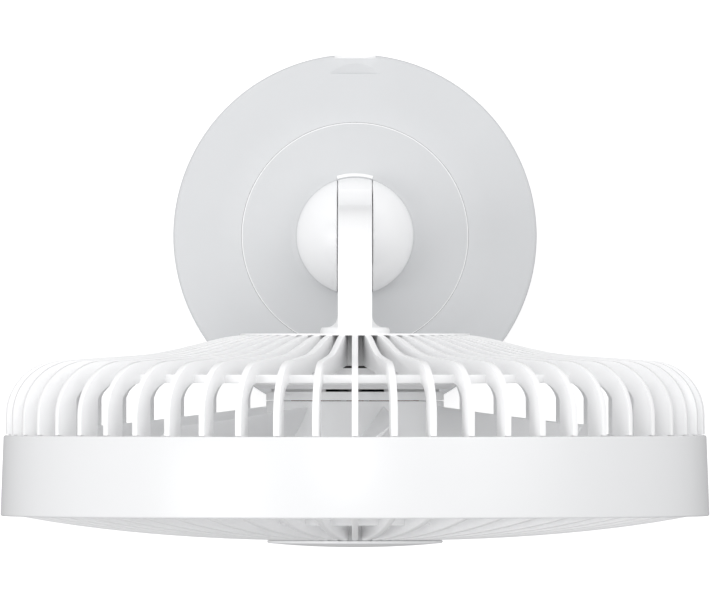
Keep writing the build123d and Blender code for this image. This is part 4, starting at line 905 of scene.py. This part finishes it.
# %% Dome and cone
cone_slope = math.tan(math.radians(12))
seam_radius = (turntable_high.x - turntable_low.x) / 2 / mm + 0.2
cone_at_seam = 24.8
slot_half = neck_half_width + 0.6
slot_end = dome_radius + 0.1
foot_turn = 6.5                # how far above the cone the ball ends, in degrees
shell_wall = 2.0
base_seam = 53.5


def cone_height(radius):
    """Height of the base's shallow cone at a radius."""
    return cone_at_seam + (base_seam - radius) * cone_slope


dome_foot = cone_height(dome_radius)
dome_angle = math.degrees(math.asin((dome_foot - pivot_height) / dome_radius))
skin = [(0, pivot_height + dome_radius)]
skin += arc((0, pivot_height), dome_radius, 90, dome_angle + foot_turn, 40)[1:]
foot = [(slot_end, 0.55), (slot_end + 1.2, 0.1), (slot_end + 3, 0)]
seam = [(seam_radius - 0.5, 0), (seam_radius - 0.15, 0), (seam_radius, -0.2)]
skin += [(reach, cone_height(reach) + lift) for reach, lift in foot + seam]
skin += [(seam_radius, cone_at_seam - 4.0)]
top_bm = bmesh.new()
turn(
    top_bm, [base_point(*p) for p in skin], Vector((0, 0, 0)), upright_line, steps=192,
    closed=False,
)
bmesh.ops.remove_doubles(top_bm, verts=top_bm.verts, dist=0.002 * mm)
for side in (-1, 1):
    cut_geom = list(top_bm.verts) + list(top_bm.edges) + list(top_bm.faces)
    bmesh.ops.bisect_plane(
        top_bm, geom=cut_geom, dist=1e-7, plane_co=(side * slot_half * mm, 0, 0),
        plane_no=(1, 0, 0),
    )
in_slot = []
for face in top_bm.faces:
    middle = face.calc_center_median()
    if abs(middle.x) < slot_half * mm and middle.to_2d().length < slot_end * mm:
        in_slot.append(face)
bmesh.ops.delete(top_bm, geom=in_slot, context="FACES")
turntable_cover = hand_over(
    "dome_and_cone", top_bm, white_gloss, "turntable", ["turntable_cover"]
)
# the cone takes the darker base finish: painted shade
turntable_cover.data.materials.append(base_satin_painted_shade)
# the last half millimetre before the seam keeps the dome's white: a painted highlight along the
# seam's rounded edge
for polygon in turntable_cover.data.polygons:
    reach = polygon.center.to_2d().length / mm
    if dome_radius - 0.3 < reach < seam_radius - 0.5:
        polygon.material_index = 1
wall = turntable_cover.modifiers.new("wall", "SOLIDIFY")
wall.thickness = shell_wall * mm
wall.offset = -1.0
wall.use_even_offset = True

# %% [markdown]
# The slot's rear end has a small raised lip, as wide as the slot, which catches the
# light behind the neck.  It is a short stretch of a turned ring.

# %% Slot lip
lip_inner, lip_outer, lip_rise = slot_end + 0.05, slot_end + 1.8, 0.8
lip_sweep = 2 * math.asin(slot_half / lip_outer)
lip_base = cone_height(lip_outer) - 0.4
lip_profile = [(lip_inner, lip_base), (lip_inner, lip_base + lip_rise)]
lip_profile += [(lip_inner + 0.25, lip_base + lip_rise + 0.35)]
lip_profile += [(lip_outer - 0.4, lip_base + lip_rise + 0.1), (lip_outer, lip_base + 0.4)]
lip_profile += [(lip_outer, lip_base)]
lip_bm = bmesh.new()
lip_geom = add_loop(lip_bm, [base_point(*p) for p in lip_profile], closed=True)
bmesh.ops.contextual_create(lip_bm, geom=lip_geom)
bmesh.ops.rotate(
    lip_bm, verts=lip_bm.verts, cent=(0, 0, 0),
    matrix=Matrix.Rotation(math.pi / 2 - lip_sweep / 2, 3, "Z"),
)
lip_end = bmesh.ops.spin(
    lip_bm, geom=list(lip_bm.verts) + list(lip_bm.edges), cent=(0, 0, 0), axis=(0, 0, 1),
    angle=lip_sweep, steps=24,
)
bmesh.ops.contextual_create(lip_bm, geom=lip_end["geom_last"])
hand_over("slot_lip", lip_bm, white_gloss, "turntable", [])
